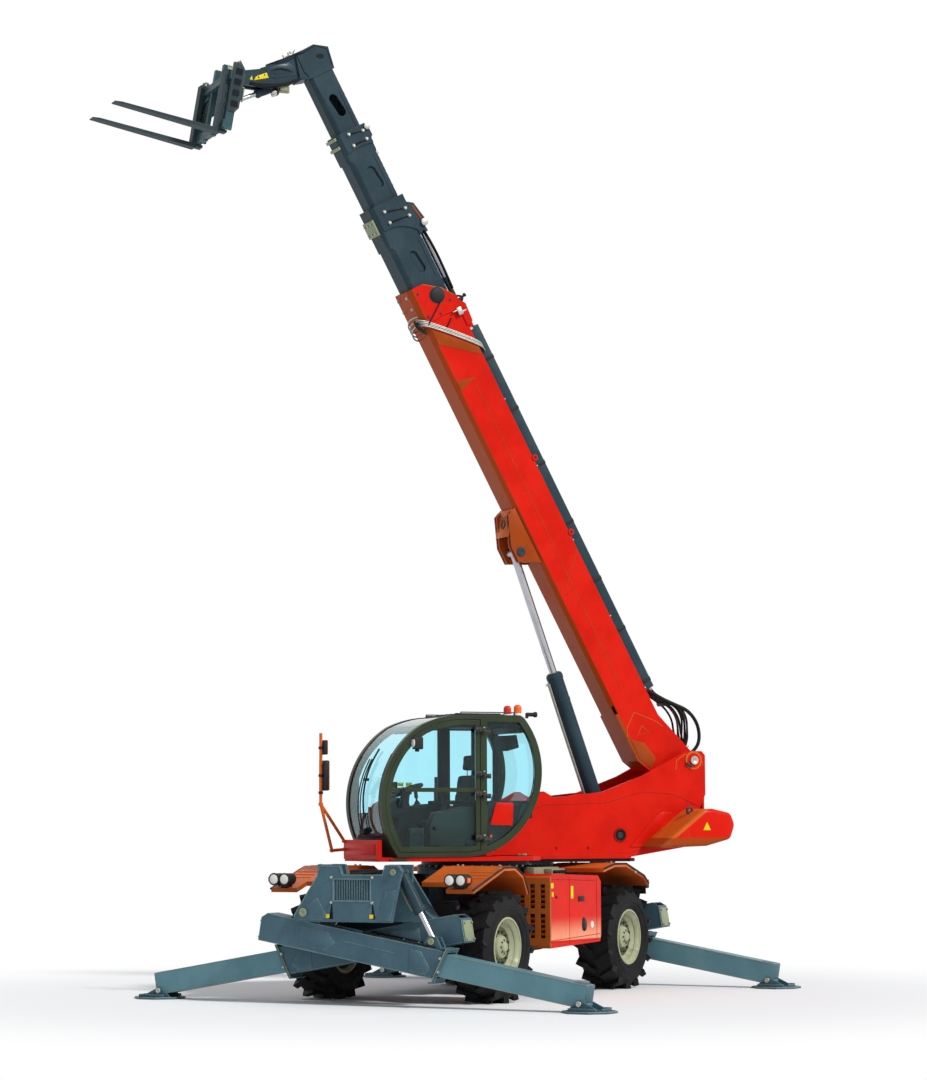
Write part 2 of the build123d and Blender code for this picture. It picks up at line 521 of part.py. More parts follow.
for name, (end, place, hand) in LEGS.items():
    origin = CHASSIS.from_local_coords((end * place, 0, 0))
    leg = Plane(origin, x_dir=(0, hand, 0), z_dir=(0, 0, 1))  # x points outwards
    slope = tilted(leg, ROOT_PIN[0], 0, ROOT_PIN[1], -LEG_SLOPE)
    jack = tilted(leg, JACK_PIN[0], 0, JACK_PIN[1], JACK_ANGLE)

    with BuildPart() as outer_leg:
        slab(side(slope), ((LEG_ROOT, LEG_LOW), (LEG_END - 40, LEG_LOW), (LEG_END + 40, LEG_HIGH),
                           (LEG_ROOT + 70, LEG_HIGH), (LEG_ROOT, LEG_HIGH - 55)), LEG_WIDTH)
        slab(side(slope), MOUTH, LEG_WIDTH + 2 * MOUTH_PROUD)
        block(side(slope), (LEG_ROOT + LEG_WALL, LEG_LOW + LEG_WALL), (LEG_END + 200, LEG_HIGH - LEG_WALL),
              -LEG_WIDTH / 2 + LEG_WALL, LEG_WIDTH / 2 - LEG_WALL, Mode.SUBTRACT)
        # wear pads at the mouth
        for low, high in ((LEG_LOW + 4, INNER_LOW - SEAT), (INNER_HIGH + SEAT, LEG_HIGH - 4)):
            block(side(slope), (LEG_END - 190, low), (LEG_END - 70, high), -60, 60)
        # root ear and the ears that hold the jack's foot
        slab(side(slope), ((-190, LEG_HIGH - 5), (190, LEG_HIGH - 5), (70, 50), (-70, 50)), LEG_WIDTH - 40)
        bar(side(slope), (0, 0), 84, LEG_WIDTH - 40)
        bar(side(slope), (0, 0), ROOT_PIN_RADIUS + SEAT, LEG_WIDTH, Mode.SUBTRACT)
        for flank in (1, -1):
            ear = side(slope, flank * (FOOT_EYE_HALF + 8 + JACK_EAR / 2))
            slab(ear, ((JACK_FOOT[0] - 110, LEG_HIGH - 5), (JACK_FOOT[0] + 130, LEG_HIGH - 5),
                       (JACK_FOOT[0] + 50, 22), (JACK_FOOT[0] - 50, 22)), JACK_EAR)
            bar(side(slope, flank * (FOOT_EYE_HALF + 8 + JACK_EAR + 8)), JACK_FOOT, JACK_PIN_RADIUS, 20)
    outer_leg.part.label = f"stabiliser_{name}_outer"
    export_step(outer_leg.part, f"parts/stabiliser_{name}_outer.step")

    with BuildPart() as inner_leg:
        block(side(slope), (INNER_TAIL, INNER_LOW), (INNER_END, INNER_HIGH), -INNER_WIDTH / 2, INNER_WIDTH / 2)
        block(side(slope), (INNER_TAIL - 1, INNER_LOW + LEG_WALL), (INNER_END - LEG_WALL, INNER_HIGH - LEG_WALL),
              -INNER_WIDTH / 2 + LEG_WALL, INNER_WIDTH / 2 - LEG_WALL, Mode.SUBTRACT)
        bar(side(slope), PAD_PIN, PAD_PIN_RADIUS + 30, INNER_WIDTH - 2)
        bar(side(slope), PAD_PIN, PAD_PIN_RADIUS + SEAT, LEG_WIDTH, Mode.SUBTRACT)
    inner_leg.part.label = f"stabiliser_{name}_inner"
    export_step(inner_leg.part, f"parts/stabiliser_{name}_inner.step")

    with BuildPart() as pad:
        with BuildSketch(level(leg)) as plate:
            with Locations((PAD_IN_LEG[0] + 60, 0)):
                RegularPolygon(PAD_RADIUS, 8, rotation=22.5)
        extrude(plate.sketch, amount=PAD_THICK)
        for flank in (1, -1):
            ear = side(leg, flank * (INNER_WIDTH / 2 + RUNNING / 2 + PAD_EAR / 2))
            slab(ear, ((PAD_IN_LEG[0] - 150, PAD_THICK - 2), (PAD_IN_LEG[0] + 240, PAD_THICK - 2),
                       (PAD_IN_LEG[0] + 30, PAD_IN_LEG[1] + 25), (PAD_IN_LEG[0] - 30, PAD_IN_LEG[1] + 25)),
                 PAD_EAR)
            bar(ear, PAD_IN_LEG, 40, PAD_EAR)
        bar(side(leg), PAD_IN_LEG, PAD_PIN_RADIUS, INNER_WIDTH + RUNNING + 2 * PAD_EAR + 24)
    pad.part.label = f"stabiliser_{name}_pad"
    export_step(pad.part, f"parts/stabiliser_{name}_pad.step")

    with BuildPart() as jack_barrel:
        bar(across(jack, (45 + JACK_BARREL_LENGTH) / 2), (0, 0), JACK_BARREL_RADIUS, JACK_BARREL_LENGTH - 45)
        bar(side(jack), (0, 0), JACK_BARREL_RADIUS - 8, 2 * JACK_BARREL_RADIUS - 30)
        bar(across(jack, 320), (0, 0), JACK_ROD_RADIUS + SEAT, 480, Mode.SUBTRACT)
        bar(side(jack), (0, 0), JACK_PIN_RADIUS + SEAT, 300, Mode.SUBTRACT)
    jack_barrel.part.label = f"stabiliser_{name}_barrel"
    export_step(jack_barrel.part, f"parts/stabiliser_{name}_barrel.step")

    with BuildPart() as jack_rod:
        bar(across(jack, JACK_LENGTH - JACK_ROD_LENGTH / 2), (0, 0), JACK_ROD_RADIUS, JACK_ROD_LENGTH)
        bar(side(jack), (JACK_LENGTH, 0), 44, 2 * FOOT_EYE_HALF)
    jack_rod.part.label = f"stabiliser_{name}_rod"
    export_step(jack_rod.part, f"parts/stabiliser_{name}_rod.step")

# ---- turret frame: deck, two cheeks that hold the boom, and the right-hand cover -------------
# forward and up, around each cheek
CHEEK_OUTLINE = (
    (1000, 1500), (1000, 1640), (300, 1905), (-560, 2140), (-740, 2232), (-800, 2232), (-921, 2165),
    (-1528, 2226), (-2042, 2412), (-2341, 2560), (-2610, 2694), (-2820, 2700), (-2866, 2650),
    (-2866, 2200), (-2790, 2040), (-2790, 1640), (-2598, 1600), (-1783, TURRET_LOW), (-1200, TURRET_LOW),
)
# forward and to the left, around the deck
DECK_OUTLINE = (
    (1640, 180), (1640, 1130), (1300, 1185), (-150, 1185), (-330, 1000), (-520, 160), (-1880, 160),
    (-1880, -545), (-1700, -1090), (900, -1090), (1120, -540), (1120, 180),
)
RIGHT_COVER = ((-1640, 1500), (-1640, 1900), (-1480, 2080), (560, 2080), (860, 1800), (860, 1500))
LEFT_CHEEK_Y = BOOM_Y + (CHEEK_GAP + CHEEK_THICK) / 2
RIGHT_CHEEK_Y = BOOM_Y - (CHEEK_GAP + CHEEK_THICK) / 2
COVER_LEFT = RIGHT_CHEEK_Y - CHEEK_THICK / 2
COVER_RIGHT = -1085.0
LIFT_EYE = 200.0
ROOT_EYE = SECTIONS["boom_base"][2]

with BuildPart() as turret_frame:
    with BuildSketch(level(TURRET, TURRET_LOW)) as deck:
        Polygon(*DECK_OUTLINE, align=None)
    extrude(deck.sketch, amount=CAB_FLOOR - TURRET_LOW)
    for cheek_y in (LEFT_CHEEK_Y, RIGHT_CHEEK_Y):
        slab(side(TURRET, cheek_y), CHEEK_OUTLINE, CHEEK_THICK)
    slab(side(TURRET, (COVER_LEFT + COVER_RIGHT) / 2), RIGHT_COVER, COVER_LEFT - COVER_RIGHT)
    # rear web between the cheeks
    block(side(TURRET, BOOM_Y), (-2866, 2000), (-2842, 2430), -CHEEK_GAP / 2, CHEEK_GAP / 2)
    # bosses and pins of the boom and of the lift cylinder
    for flank in (1, -1):
        seat = ROOT_EYE / 2 + SEAT
        bar(side(TURRET, BOOM_Y + flank * (seat + CHEEK_GAP / 2) / 2), (PIVOT_X, PIVOT_Z), 95,
            CHEEK_GAP / 2 - seat)
        bar(side(TURRET, BOOM_Y + flank * (CHEEK_GAP / 2 + CHEEK_THICK)), (PIVOT_X, PIVOT_Z), 82, 30)
        seat = LIFT_EYE / 2 + SEAT
        bar(side(TURRET, BOOM_Y + flank * (seat + CHEEK_GAP / 2) / 2), LIFT_FOOT, 85, CHEEK_GAP / 2 - seat)
    bar(side(TURRET, BOOM_Y), (PIVOT_X, PIVOT_Z), PIVOT_RADIUS, CHEEK_GAP + 2 * CHEEK_THICK + 60)
    bar(side(TURRET, BOOM_Y), LIFT_FOOT, LIFT_PIN_RADIUS, CHEEK_GAP + 2 * CHEEK_THICK)
    # bumper under the windscreen
    block(level(TURRET), (1600, 190), (1655, 1130), CAB_FLOOR - 20, 1705)
turret_frame.part.label = "turret_frame"
export_step(turret_frame.part, "parts/turret_frame.step")

# ---- counterweight behind and under the boom's pivot -----------------------------------------
WEIGHT_OUTLINE = (
    (-2240, 1575), (-2620, 1612), (-2930, 1690), (-2985, 1850), (-2935, 1985), (-2700, 2035), (-2320, 1950),
)
WEIGHT_LEFT = 620.0
WEIGHT_RIGHT = -1020.0

with BuildPart() as counterweight:
    with BuildSketch(side(TURRET, (WEIGHT_LEFT + WEIGHT_RIGHT) / 2)) as section:
        Polygon(*WEIGHT_OUTLINE, align=None)
        fillet(section.vertices(), 45)
    extrude(section.sketch, amount=(WEIGHT_LEFT - WEIGHT_RIGHT) / 2, both=True)
    for cheek_y in (LEFT_CHEEK_Y, RIGHT_CHEEK_Y):
        slab(side(TURRET, cheek_y), CHEEK_OUTLINE, CHEEK_THICK, Mode.SUBTRACT)
    block(side(TURRET, BOOM_Y), (-2866, 1930), (-2000, 2200), -CHEEK_GAP / 2, CHEEK_GAP / 2, Mode.SUBTRACT)
    block(side(TURRET, BOOM_Y), (-2866, 1500), (-2842, 2200), -CHEEK_GAP / 2, CHEEK_GAP / 2, Mode.SUBTRACT)
counterweight.part.label = "counterweight"
export_step(counterweight.part, "parts/counterweight.step")

# ---- cab: a teardrop shell with its windows and door cut out ---------------------------------
with BuildSketch() as cab_outline:
    with BuildLine():
        Line((640, CAB_FLOOR), (1440, CAB_FLOOR))
        ThreePointArc((1440, CAB_FLOOR), (1634, 2100), (1160, 2930))
        ThreePointArc((1160, 2930), (935, 3010), (690, CAB_ROOF))
        Line((690, CAB_ROOF), (-20, CAB_ROOF))
        ThreePointArc((-20, CAB_ROOF), (-248, 2560), (-120, 1965))
        ThreePointArc((-120, 1965), (180, 1655), (640, CAB_FLOOR))
    make_face()
    fillet(cab_outline.vertices().group_by(Axis.Y)[-1].sort_by(Axis.X)[0], 110)


CAB_MIDDLE = (CAB_RIGHT + CAB_LEFT) / 2
SCREEN = ((1300, 1725), (2000, 1725), (2000, 3300), (800, 3300), (800, 2700), (1300, 2500))
REAR_WINDOW = ((-600, 2100), (0, 2100), (0, 2860), (-600, 2860))
SCREEN_HALF = CAB_MIDDLE - CAB_RIGHT - 72
DOOR_EDGE = DOOR_BAR + 45
DOOR_INSET = 54.0


def cab_body(inset, right, left, mode=Mode.ADD):
    """A body of the cab's outline, drawn in by an inset, between two distances to the left."""
    with BuildSketch(side(TURRET, (right + left) / 2)) as section:
        add(cab_outline.sketch_local)
        if inset:
            offset(amount=-inset, mode=Mode.REPLACE)
    extrude(section.sketch, amount=(left - right) / 2, both=True, mode=mode)


def cab_plate(middle, thickness, inset, low, high, mode=Mode.ADD):
    """A plate of the inset outline, kept to the rectangle between two corners."""
    with BuildSketch(side(TURRET, middle)) as section:
        add(cab_outline.sketch_local)
        offset(amount=-inset, mode=Mode.REPLACE)
        with Locations(((low[0] + high[0]) / 2, (low[1] + high[1]) / 2)):
            Rectangle(high[0] - low[0], high[1] - low[1], mode=Mode.INTERSECT)
    extrude(section.sketch, amount=thickness / 2, both=True, mode=mode)


# inset and corners of each flat window
RIGHT_WINDOW = (95, (-400, 1990), (1500, 2900))
QUARTER_WINDOW = (75, (-600, 1560), (DOOR_BAR - 35, 3300))
UPPER_LIGHT = (DOOR_INSET + 55, (DOOR_EDGE + 50, WAIST + 22), (2000, 3300))
LOWER_LIGHT = (DOOR_INSET + 55, (DOOR_EDGE + 50, 1400), (2000, WAIST - 22))
RIGHT_WALL_Y = CAB_RIGHT + PILLAR / 2
LEFT_WALL_Y = CAB_LEFT - PILLAR / 2
DOOR_Y = CAB_LEFT - 5 - DOOR_THICK / 2
HINGE_X = DOOR_BAR + 10
SCREEN_INSET = 8.0

with BuildPart() as curved_windows:
    for outline in (SCREEN, REAR_WINDOW):
        slab(side(TURRET, CAB_MIDDLE), outline, 2 * SCREEN_HALF)

with BuildPart() as cab_frame:
    cab_body(0, CAB_RIGHT, CAB_LEFT)
    cab_body(PILLAR, CAB_RIGHT + PILLAR, CAB_LEFT - PILLAR, Mode.SUBTRACT)
    add(curved_windows.part, mode=Mode.SUBTRACT)
    cab_plate(RIGHT_WALL_Y, 2 * PILLAR, *RIGHT_WINDOW, Mode.SUBTRACT)
    cab_plate(LEFT_WALL_Y, 2 * PILLAR, *QUARTER_WINDOW, Mode.SUBTRACT)
    cab_plate(LEFT_WALL_Y, 2 * PILLAR, DOOR_INSET - DOOR_GAP, (DOOR_EDGE - DOOR_GAP, 1400), (2000, 3300),
              Mode.SUBTRACT)
    for height in HINGE_HEIGHTS:
        block(level(TURRET), (HINGE_X - 16, CAB_LEFT - 4), (HINGE_X + 16, HINGE_Y), height - 30, height - 4)
        bar(level(TURRET, height - 17), (HINGE_X, HINGE_Y), 16, 26)
        bar(level(TURRET, height), (HINGE_X, HINGE_Y), HINGE_PIN, 60)
cab_frame.part.label = "cab_frame"
export_step(cab_frame.part, "parts/cab_frame.step")

with BuildPart() as cab_glass:
    cab_body(SCREEN_INSET, CAB_MIDDLE - SCREEN_HALF, CAB_MIDDLE + SCREEN_HALF)
    cab_body(SCREEN_INSET + GLASS, CAB_RIGHT, CAB_LEFT, Mode.SUBTRACT)
    add(curved_windows.part, mode=Mode.INTERSECT)
    cab_plate(RIGHT_WALL_Y, GLASS, *RIGHT_WINDOW)
    cab_plate(LEFT_WALL_Y, GLASS, *QUARTER_WINDOW)
cab_glass.part.label = "cab_glass"
export_step(cab_glass.part, "parts/cab_glass.step")

with BuildPart() as cab_door:
    cab_plate(DOOR_Y, DOOR_THICK, DOOR_INSET, (DOOR_EDGE, 1400), (2000, 3300))
    for light in (UPPER_LIGHT, LOWER_LIGHT):
        cab_plate(DOOR_Y, 2 * DOOR_THICK, *light, Mode.SUBTRACT)
    for height in HINGE_HEIGHTS:
        low, high = height - 4 + SEAT, height + 28
        bar(level(TURRET, (low + high) / 2), (HINGE_X, HINGE_Y), 16, high - low)
        block(level(TURRET), (HINGE_X, HINGE_Y - 10), (HINGE_X + 80, HINGE_Y + 10), low, high)
        block(level(TURRET), (HINGE_X + 50, DOOR_Y), (HINGE_X + 80, HINGE_Y + 10), low, high)
        bar(level(TURRET, height), (HINGE_X, HINGE_Y), HINGE_PIN + SEAT, 100, Mode.SUBTRACT)
cab_door.part.label = "cab_door"
export_step(cab_door.part, "parts/cab_door.step")

with BuildPart() as door_glass:
    for light in (UPPER_LIGHT, LOWER_LIGHT):
        cab_plate(DOOR_Y, GLASS, *light)
door_glass.part.label = "door_glass"
export_step(door_glass.part, "parts/door_glass.step")

# ---- seat, controls, mirror arm and beacons --------------------------------------------------
INSIDE_FLOOR = CAB_FLOOR + PILLAR
SEAT_Y = CAB_MIDDLE
SEAT_WIDTH = 480.0

with BuildPart() as seat:
    block(level(TURRET), (655, SEAT_Y - 160), (900, SEAT_Y + 160), INSIDE_FLOOR, 1810)
    slab(side(TURRET, SEAT_Y), ((450, 1800), (930, 1810), (950, 1880), (920, 1925), (460, 1905)), SEAT_WIDTH)
    slab(side(TURRET, SEAT_Y), ((400, 1830), (520, 1860), (440, 2420), (405, 2640), (335, 2630), (330, 2400)),
         SEAT_WIDTH - 30)
seat.part.label = "seat"
export_step(seat.part, "parts/seat.step")

WHEEL_CENTRE = (1130.0, 2235.0)

with BuildPart() as controls:
    slab(side(TURRET, SEAT_Y), ((1190, INSIDE_FLOOR), (1330, INSIDE_FLOOR), (1175, 2210), (1110, 2190)), 90)
    steering = tilted(TURRET, WHEEL_CENTRE[0], SEAT_Y, WHEEL_CENTRE[1], -22)
    bar(level(steering), (0, 0), 190, 24)
    bar(level(steering), (0, 0), 166, 30, Mode.SUBTRACT)
    block(level(steering), (-180, -22), (180, 22), -12, 12)
    bar(level(steering, -20), (0, 0), 45, 64)
    block(level(TURRET), (660, CAB_RIGHT + PILLAR), (1120, CAB_RIGHT + PILLAR + 150), INSIDE_FLOOR, 2060)
    bar(level(TURRET, 2120), (1000, CAB_RIGHT + PILLAR + 75), 22, 140)
controls.part.label = "controls"
export_step(controls.part, "parts/controls.step")

MIRROR_Y = CAB_RIGHT + 5
MIRROR_X = 1930.0
MIRROR_TUBE = 17.0
MIRROR_JOINT = 21.0
# ends of each tube, forward and up
MIRROR_TUBES = (
    ((MIRROR_X, 2860), (MIRROR_X, 2090)), ((MIRROR_X, 2090), (1800, 1590)), ((1800, 1590), (1655, 1600)),
    ((MIRROR_X, 2090), (1655, 1690)),
)

with BuildPart() as mirror_arm:
    for start, stop in MIRROR_TUBES:
        length, angle = reach(start, stop)
        tube = tilted(TURRET, start[0], MIRROR_Y, start[1], angle)
        bar(across(tube, length / 2), (0, 0), MIRROR_TUBE, length)
        bar(side(TURRET, MIRROR_Y), stop, MIRROR_JOINT, 2 * MIRROR_JOINT)
    block(level(TURRET), (MIRROR_X - 75, MIRROR_Y - 110), (MIRROR_X - 25, MIRROR_Y + 70), 2240, 2560)
    block(level(TURRET), (MIRROR_X - 60, MIRROR_Y - 90), (MIRROR_X - 25, MIRROR_Y + 60), 2630, 2780)
    for height in (2400, 2700):
        block(level(TURRET), (MIRROR_X - 40, MIRROR_Y - 10), (MIRROR_X, MIRROR_Y + 10), height - 15, height + 15)
    block(level(TURRET), (1500, 100), (1655, 400), 1500, 1750, Mode.SUBTRACT)
mirror_arm.part.label = "mirror_arm"
export_step(mirror_arm.part, "parts/mirror_arm.step")

BEACONS = ((0, 870), (0, 1130))  # forward and left

with BuildPart() as beacons:
    for place in BEACONS:
        bar(level(TURRET, CAB_ROOF + 12), place, 48, 24)
        bar(level(TURRET, CAB_ROOF + 60), place, 42, 84)
beacons.part.label = "beacons"
export_step(beacons.part, "parts/beacons.step")

# ---- boom sections ---------------------------------------------------------------------------
# where the collar at each section's end starts, the arc at its foot and the ear on its back
COLLARS = {
    # name: (start, centre of the arc, its radius, corners of the ear), along the boom and up
    "boom_base": (5820.0, (5130, -330), 740.0, ((5640, -100), (5665, -20), (5880, -5), (5960, -70), (5960, -100))),
    "boom_section_1": (6795.0, (6550, -460), 460.0, ((6795, -120), (6890, 30), (7155, -28), (7210, -120))),
    "boom_section_2": (7860.0, (7300, -310), 680.0, ((8000, -150), (8040, -105), (8160, -105), (8200, -150))),
}
HOLES = {
    # middle of each oval hole, along the boom and up
    "boom_section_1": (6540, -300),
    "boom_section_2": (7600, -296),
    "boom_section_3": (8505, -316),
}
HOLE_LENGTH = 275.0
HOLE_HEIGHT = 110.0
BARREL_START = 900.0
BARREL_BASE = 60.0  # solid end of the extension cylinder's barrel
BARREL_END = 5960.0
SADDLES = (1000, 2650, 4300, 5850)
EXTENSION_N = 4.0  # centre line of the extension cylinder, above the boom's pivot
EXTENSION_BARREL = 58.0
EXTENSION_ROD = 32.0
EXTENSION_TAIL = 2000.0
EXTENSION_EAR = 6850.0


def tube_body(start, stop, width, low, high, grow=0.0, mode=Mode.ADD):
    """A bar of a boom section's outline: a rectangle with its two lower edges cut off."""
    half, bevel = width / 2 + grow, BOOM_BEVEL + grow * (2 - 2 ** 0.5)
    low, high = low - grow, high + grow
    with BuildSketch(across(BOOM, start)) as outline:
        Polygon((-half, high), (-half, low + bevel), (-half + bevel, low), (half - bevel, low),
                (half, low + bevel), (half, high), align=None)
    extrude(outline.sketch, amount=stop - start, mode=mode)


def section_tube(name):
    """A boom section with its collar and the oval holes in its sides, open at both ends."""
    end, length, width, low, high = SECTIONS[name]
    tube_body(end - length, end, width, low, high)
    if name in COLLARS:
        start, arc_centre, arc_radius, ear = COLLARS[name]
        tube_body(start, end, width, low, high, COLLAR)
        for flank in (1, -1):
            # the foot of the collar's side plate is cut to an arc, and its ear stands above the tube
            bar(side(BOOM, flank * (width / 2 + COLLAR)), arc_centre, arc_radius, 2 * COLLAR, Mode.SUBTRACT)
            slab(side(BOOM, flank * (width / 2 + COLLAR / 2)), ear, COLLAR)
    tube_body(end - length - 1, end + 1, width, low, high, -BOOM_WALL, Mode.SUBTRACT)
    if name in HOLES:
        with BuildSketch(side(BOOM)) as hole:
            with Locations(HOLES[name]):
                SlotOverall(HOLE_LENGTH, HOLE_HEIGHT, rotation=-8)
        extrude(hole.sketch, amount=width, both=True, mode=Mode.SUBTRACT)


def wear_pads(outer_name, inner_name, top_back=0.0):
    """Pads in the mouth of a section that the next one slides on, the top one set back from it."""
    end, _, width, low, high = SECTIONS[outer_name]
    _, _, inner_width, inner_low, inner_high = SECTIONS[inner_name]
    start = end - 190
    stop = end - 30
    for bottom, top, back in ((low + BOOM_WALL - 2, inner_low - SEAT, 0.0),
                              (inner_high + SEAT, high - BOOM_WALL + 2, top_back)):
        block(side(BOOM), (start - back, bottom), (stop - back, top), -inner_width / 4, inner_width / 4)
    for flank in (1, -1):
        inner, outer = sorted((flank * (inner_width / 2 + SEAT), flank * (width / 2 - BOOM_WALL + 2)))
        block(side(BOOM), (start, inner_low + 60), (stop, inner_high - 60), inner, outer)


BASE_END, _, BASE_WIDTH, BASE_LOW, BASE_HIGH = SECTIONS["boom_base"]
ROOT_OUTLINE = (
    (-95, -60), (140, -500), (300, BASE_LOW), (900, BASE_LOW), (900, BASE_HIGH), (650, BASE_HIGH), (70, 92),
    (-40, 105),
)
BRACKET = ((2860, BASE_LOW + 5), (3560, BASE_LOW + 5), (3520, -680), (3190, -820), (2990, -820), (2930, -700))
TOP_PAD_BACK = 260.0
MOUTH_CUT = ((6310, -420), (6290, -391), (6155, -196), (6020, -85), (6020, -56), (6310, -56))
BRACKET_GAP = 230.0
BRACKET_THICK = 30.0

with BuildPart() as boom_base:
    section_tube("boom_base")
    wear_pads("boom_base", "boom_section_1", TOP_PAD_BACK)
    slab(side(BOOM), MOUTH_CUT, 2 * BASE_WIDTH, Mode.SUBTRACT)
    slab(side(BOOM), ROOT_OUTLINE, BASE_WIDTH)
    bar(side(BOOM), (0, 0), 112, BASE_WIDTH)
    bar(side(BOOM), (0, 0), PIVOT_RADIUS + SEAT, 2 * BASE_WIDTH, Mode.SUBTRACT)
    block(side(BOOM), (420, BASE_LOW + BOOM_WALL), (1000, BASE_HIGH - BOOM_WALL),
          -BASE_WIDTH / 2 + BOOM_WALL, BASE_WIDTH / 2 - BOOM_WALL, Mode.SUBTRACT)
    for flank in (1, -1):
        slab(side(BOOM, flank * (BRACKET_GAP + BRACKET_THICK) / 2), BRACKET, BRACKET_THICK)
        bar(side(BOOM, flank * (BRACKET_GAP / 2 + BRACKET_THICK)), LIFT_HEAD, LIFT_PIN_RADIUS + 14, 30)
    block(side(BOOM), (3440, -672), (3500, BASE_LOW + 5), -BRACKET_GAP / 2 - 5, BRACKET_GAP / 2 + 5)
    # extension cylinder along the top
    bar(across(BOOM, (BARREL_START + BARREL_END) / 2), (0, EXTENSION_N), EXTENSION_BARREL,
        BARREL_END - BARREL_START)
    for saddle in SADDLES:
        block(side(BOOM), (saddle - 40, BASE_HIGH - 5), (saddle + 40, EXTENSION_N), -50, 50)
    bar(across(BOOM, BARREL_START + BARREL_BASE + BARREL_END / 2), (0, EXTENSION_N), EXTENSION_ROD + SEAT,
        BARREL_END, Mode.SUBTRACT)
boom_base.part.label = "boom_base"
export_step(boom_base.part, "parts/boom_base.step")

with BuildPart() as boom_section_1:
    section_tube("boom_section_1")
    wear_pads("boom_section_1", "boom_section_2")
    _, _, _, _, section_high = SECTIONS["boom_section_1"]
    block(side(BOOM), (EXTENSION_EAR - 40, section_high), (EXTENSION_EAR + 60, EXTENSION_N + 40), -45, 45)
    bar(across(BOOM, (EXTENSION_TAIL + EXTENSION_EAR) / 2), (0, EXTENSION_N), EXTENSION_ROD,
        EXTENSION_EAR - EXTENSION_TAIL)
boom_section_1.part.label = "boom_section_1"
export_step(boom_section_1.part, "parts/boom_section_1.step")

with BuildPart() as boom_section_2:
    section_tube("boom_section_2")
    wear_pads("boom_section_2", "boom_section_3")
boom_section_2.part.label = "boom_section_2"
export_step(boom_section_2.part, "parts/boom_section_2.step")

# forward and up in the turret's frame: the elbow at the tip, the arm it holds and the slot in it
ELBOW = ((1665, 10335), (1742, 10572), (1922, 10578), (2130, 10440), (2070, 10150), (1960, 10180))
ARM = ((2060, 10165), (1800, 10400), (1922, 10570), (2545, 10240), (2830, 10185), (2860, 10120), (2830, 10060),
       (2745, 10045), (2385, 10030))
ARM_SLOT = ((2100, 10230), (2330, 10225), (2690, 10110), (2740, 10080), (2900, 10080), (2900, 9900), (2100, 9900))
CARRIAGE_PIN_T = in_parent(FORK_ANGLE, HEEL, CARRIAGE_PIN)
CARRIAGE_PIN_RADIUS = 24.0
TILT_EAR_GAP = 110.0

with BuildPart() as boom_section_3:
    section_tube("boom_section_3")
    slab(side(TURRET, BOOM_Y), ELBOW, 250)
    slab(side(TURRET, BOOM_Y), ARM, ARM_WIDTH)
    slab(side(TURRET, BOOM_Y), ARM_SLOT, TILT_EAR_GAP, Mode.SUBTRACT)
    bar(side(TURRET, BOOM_Y), CARRIAGE_PIN_T, CARRIAGE_PIN_RADIUS + SEAT, 2 * ARM_WIDTH, Mode.SUBTRACT)
    bar(side(TURRET, BOOM_Y), TILT_FOOT, TILT_PIN_RADIUS, ARM_WIDTH)
boom_section_3.part.label = "boom_section_3"
export_step(boom_section_3.part, "parts/boom_section_3.step")

# ---- lift cylinder ---------------------------------------------------------------------------
LIFT_HEAD_T = in_parent(BOOM_ANGLE, (PIVOT_X, PIVOT_Z), LIFT_HEAD)
LIFT_LENGTH, LIFT_ANGLE = reach(LIFT_FOOT, LIFT_HEAD_T)
LIFT = tilted(TURRET, LIFT_FOOT[0], BOOM_Y, LIFT_FOOT[1], LIFT_ANGLE)
LIFT_EYE_RADIUS = 52.0

with BuildPart() as lift_barrel:
    bar(across(LIFT, (70 + LIFT_BARREL_LENGTH) / 2), (0, 0), LIFT_BARREL_RADIUS, LIFT_BARREL_LENGTH - 70)
    bar(side(LIFT), (0, 0), LIFT_BARREL_RADIUS - 8, LIFT_EYE)
    bar(across(LIFT, 125 + LIFT_BARREL_LENGTH / 2), (0, 0), LIFT_ROD_RADIUS + SEAT, LIFT_BARREL_LENGTH,
        Mode.SUBTRACT)
    bar(side(LIFT), (0, 0), LIFT_PIN_RADIUS + SEAT, 2 * LIFT_EYE, Mode.SUBTRACT)
lift_barrel.part.label = "lift_barrel"
export_step(lift_barrel.part, "parts/lift_barrel.step")

with BuildPart() as lift_rod:
    bar(across(LIFT, LIFT_LENGTH - LIFT_ROD_LENGTH / 2), (0, 0), LIFT_ROD_RADIUS, LIFT_ROD_LENGTH)
    bar(side(LIFT), (LIFT_LENGTH, 0), LIFT_EYE_RADIUS, LIFT_EYE)
lift_rod.part.label = "lift_rod"
export_step(lift_rod.part, "parts/lift_rod.step")

# ---- carriage, forks and tilt cylinder -------------------------------------------------------
TILT_EYE_HALF = 30.0
CARRIAGE_EAR = ((-60, 360), (-60, 860), (-170, 862), (-285, 820), (-285, 740), (-262, 440), (-180, 400))
EAR_INNER = ARM_WIDTH / 2 + RUNNING
EAR_THICK = 26.0
RAIL = 60.0

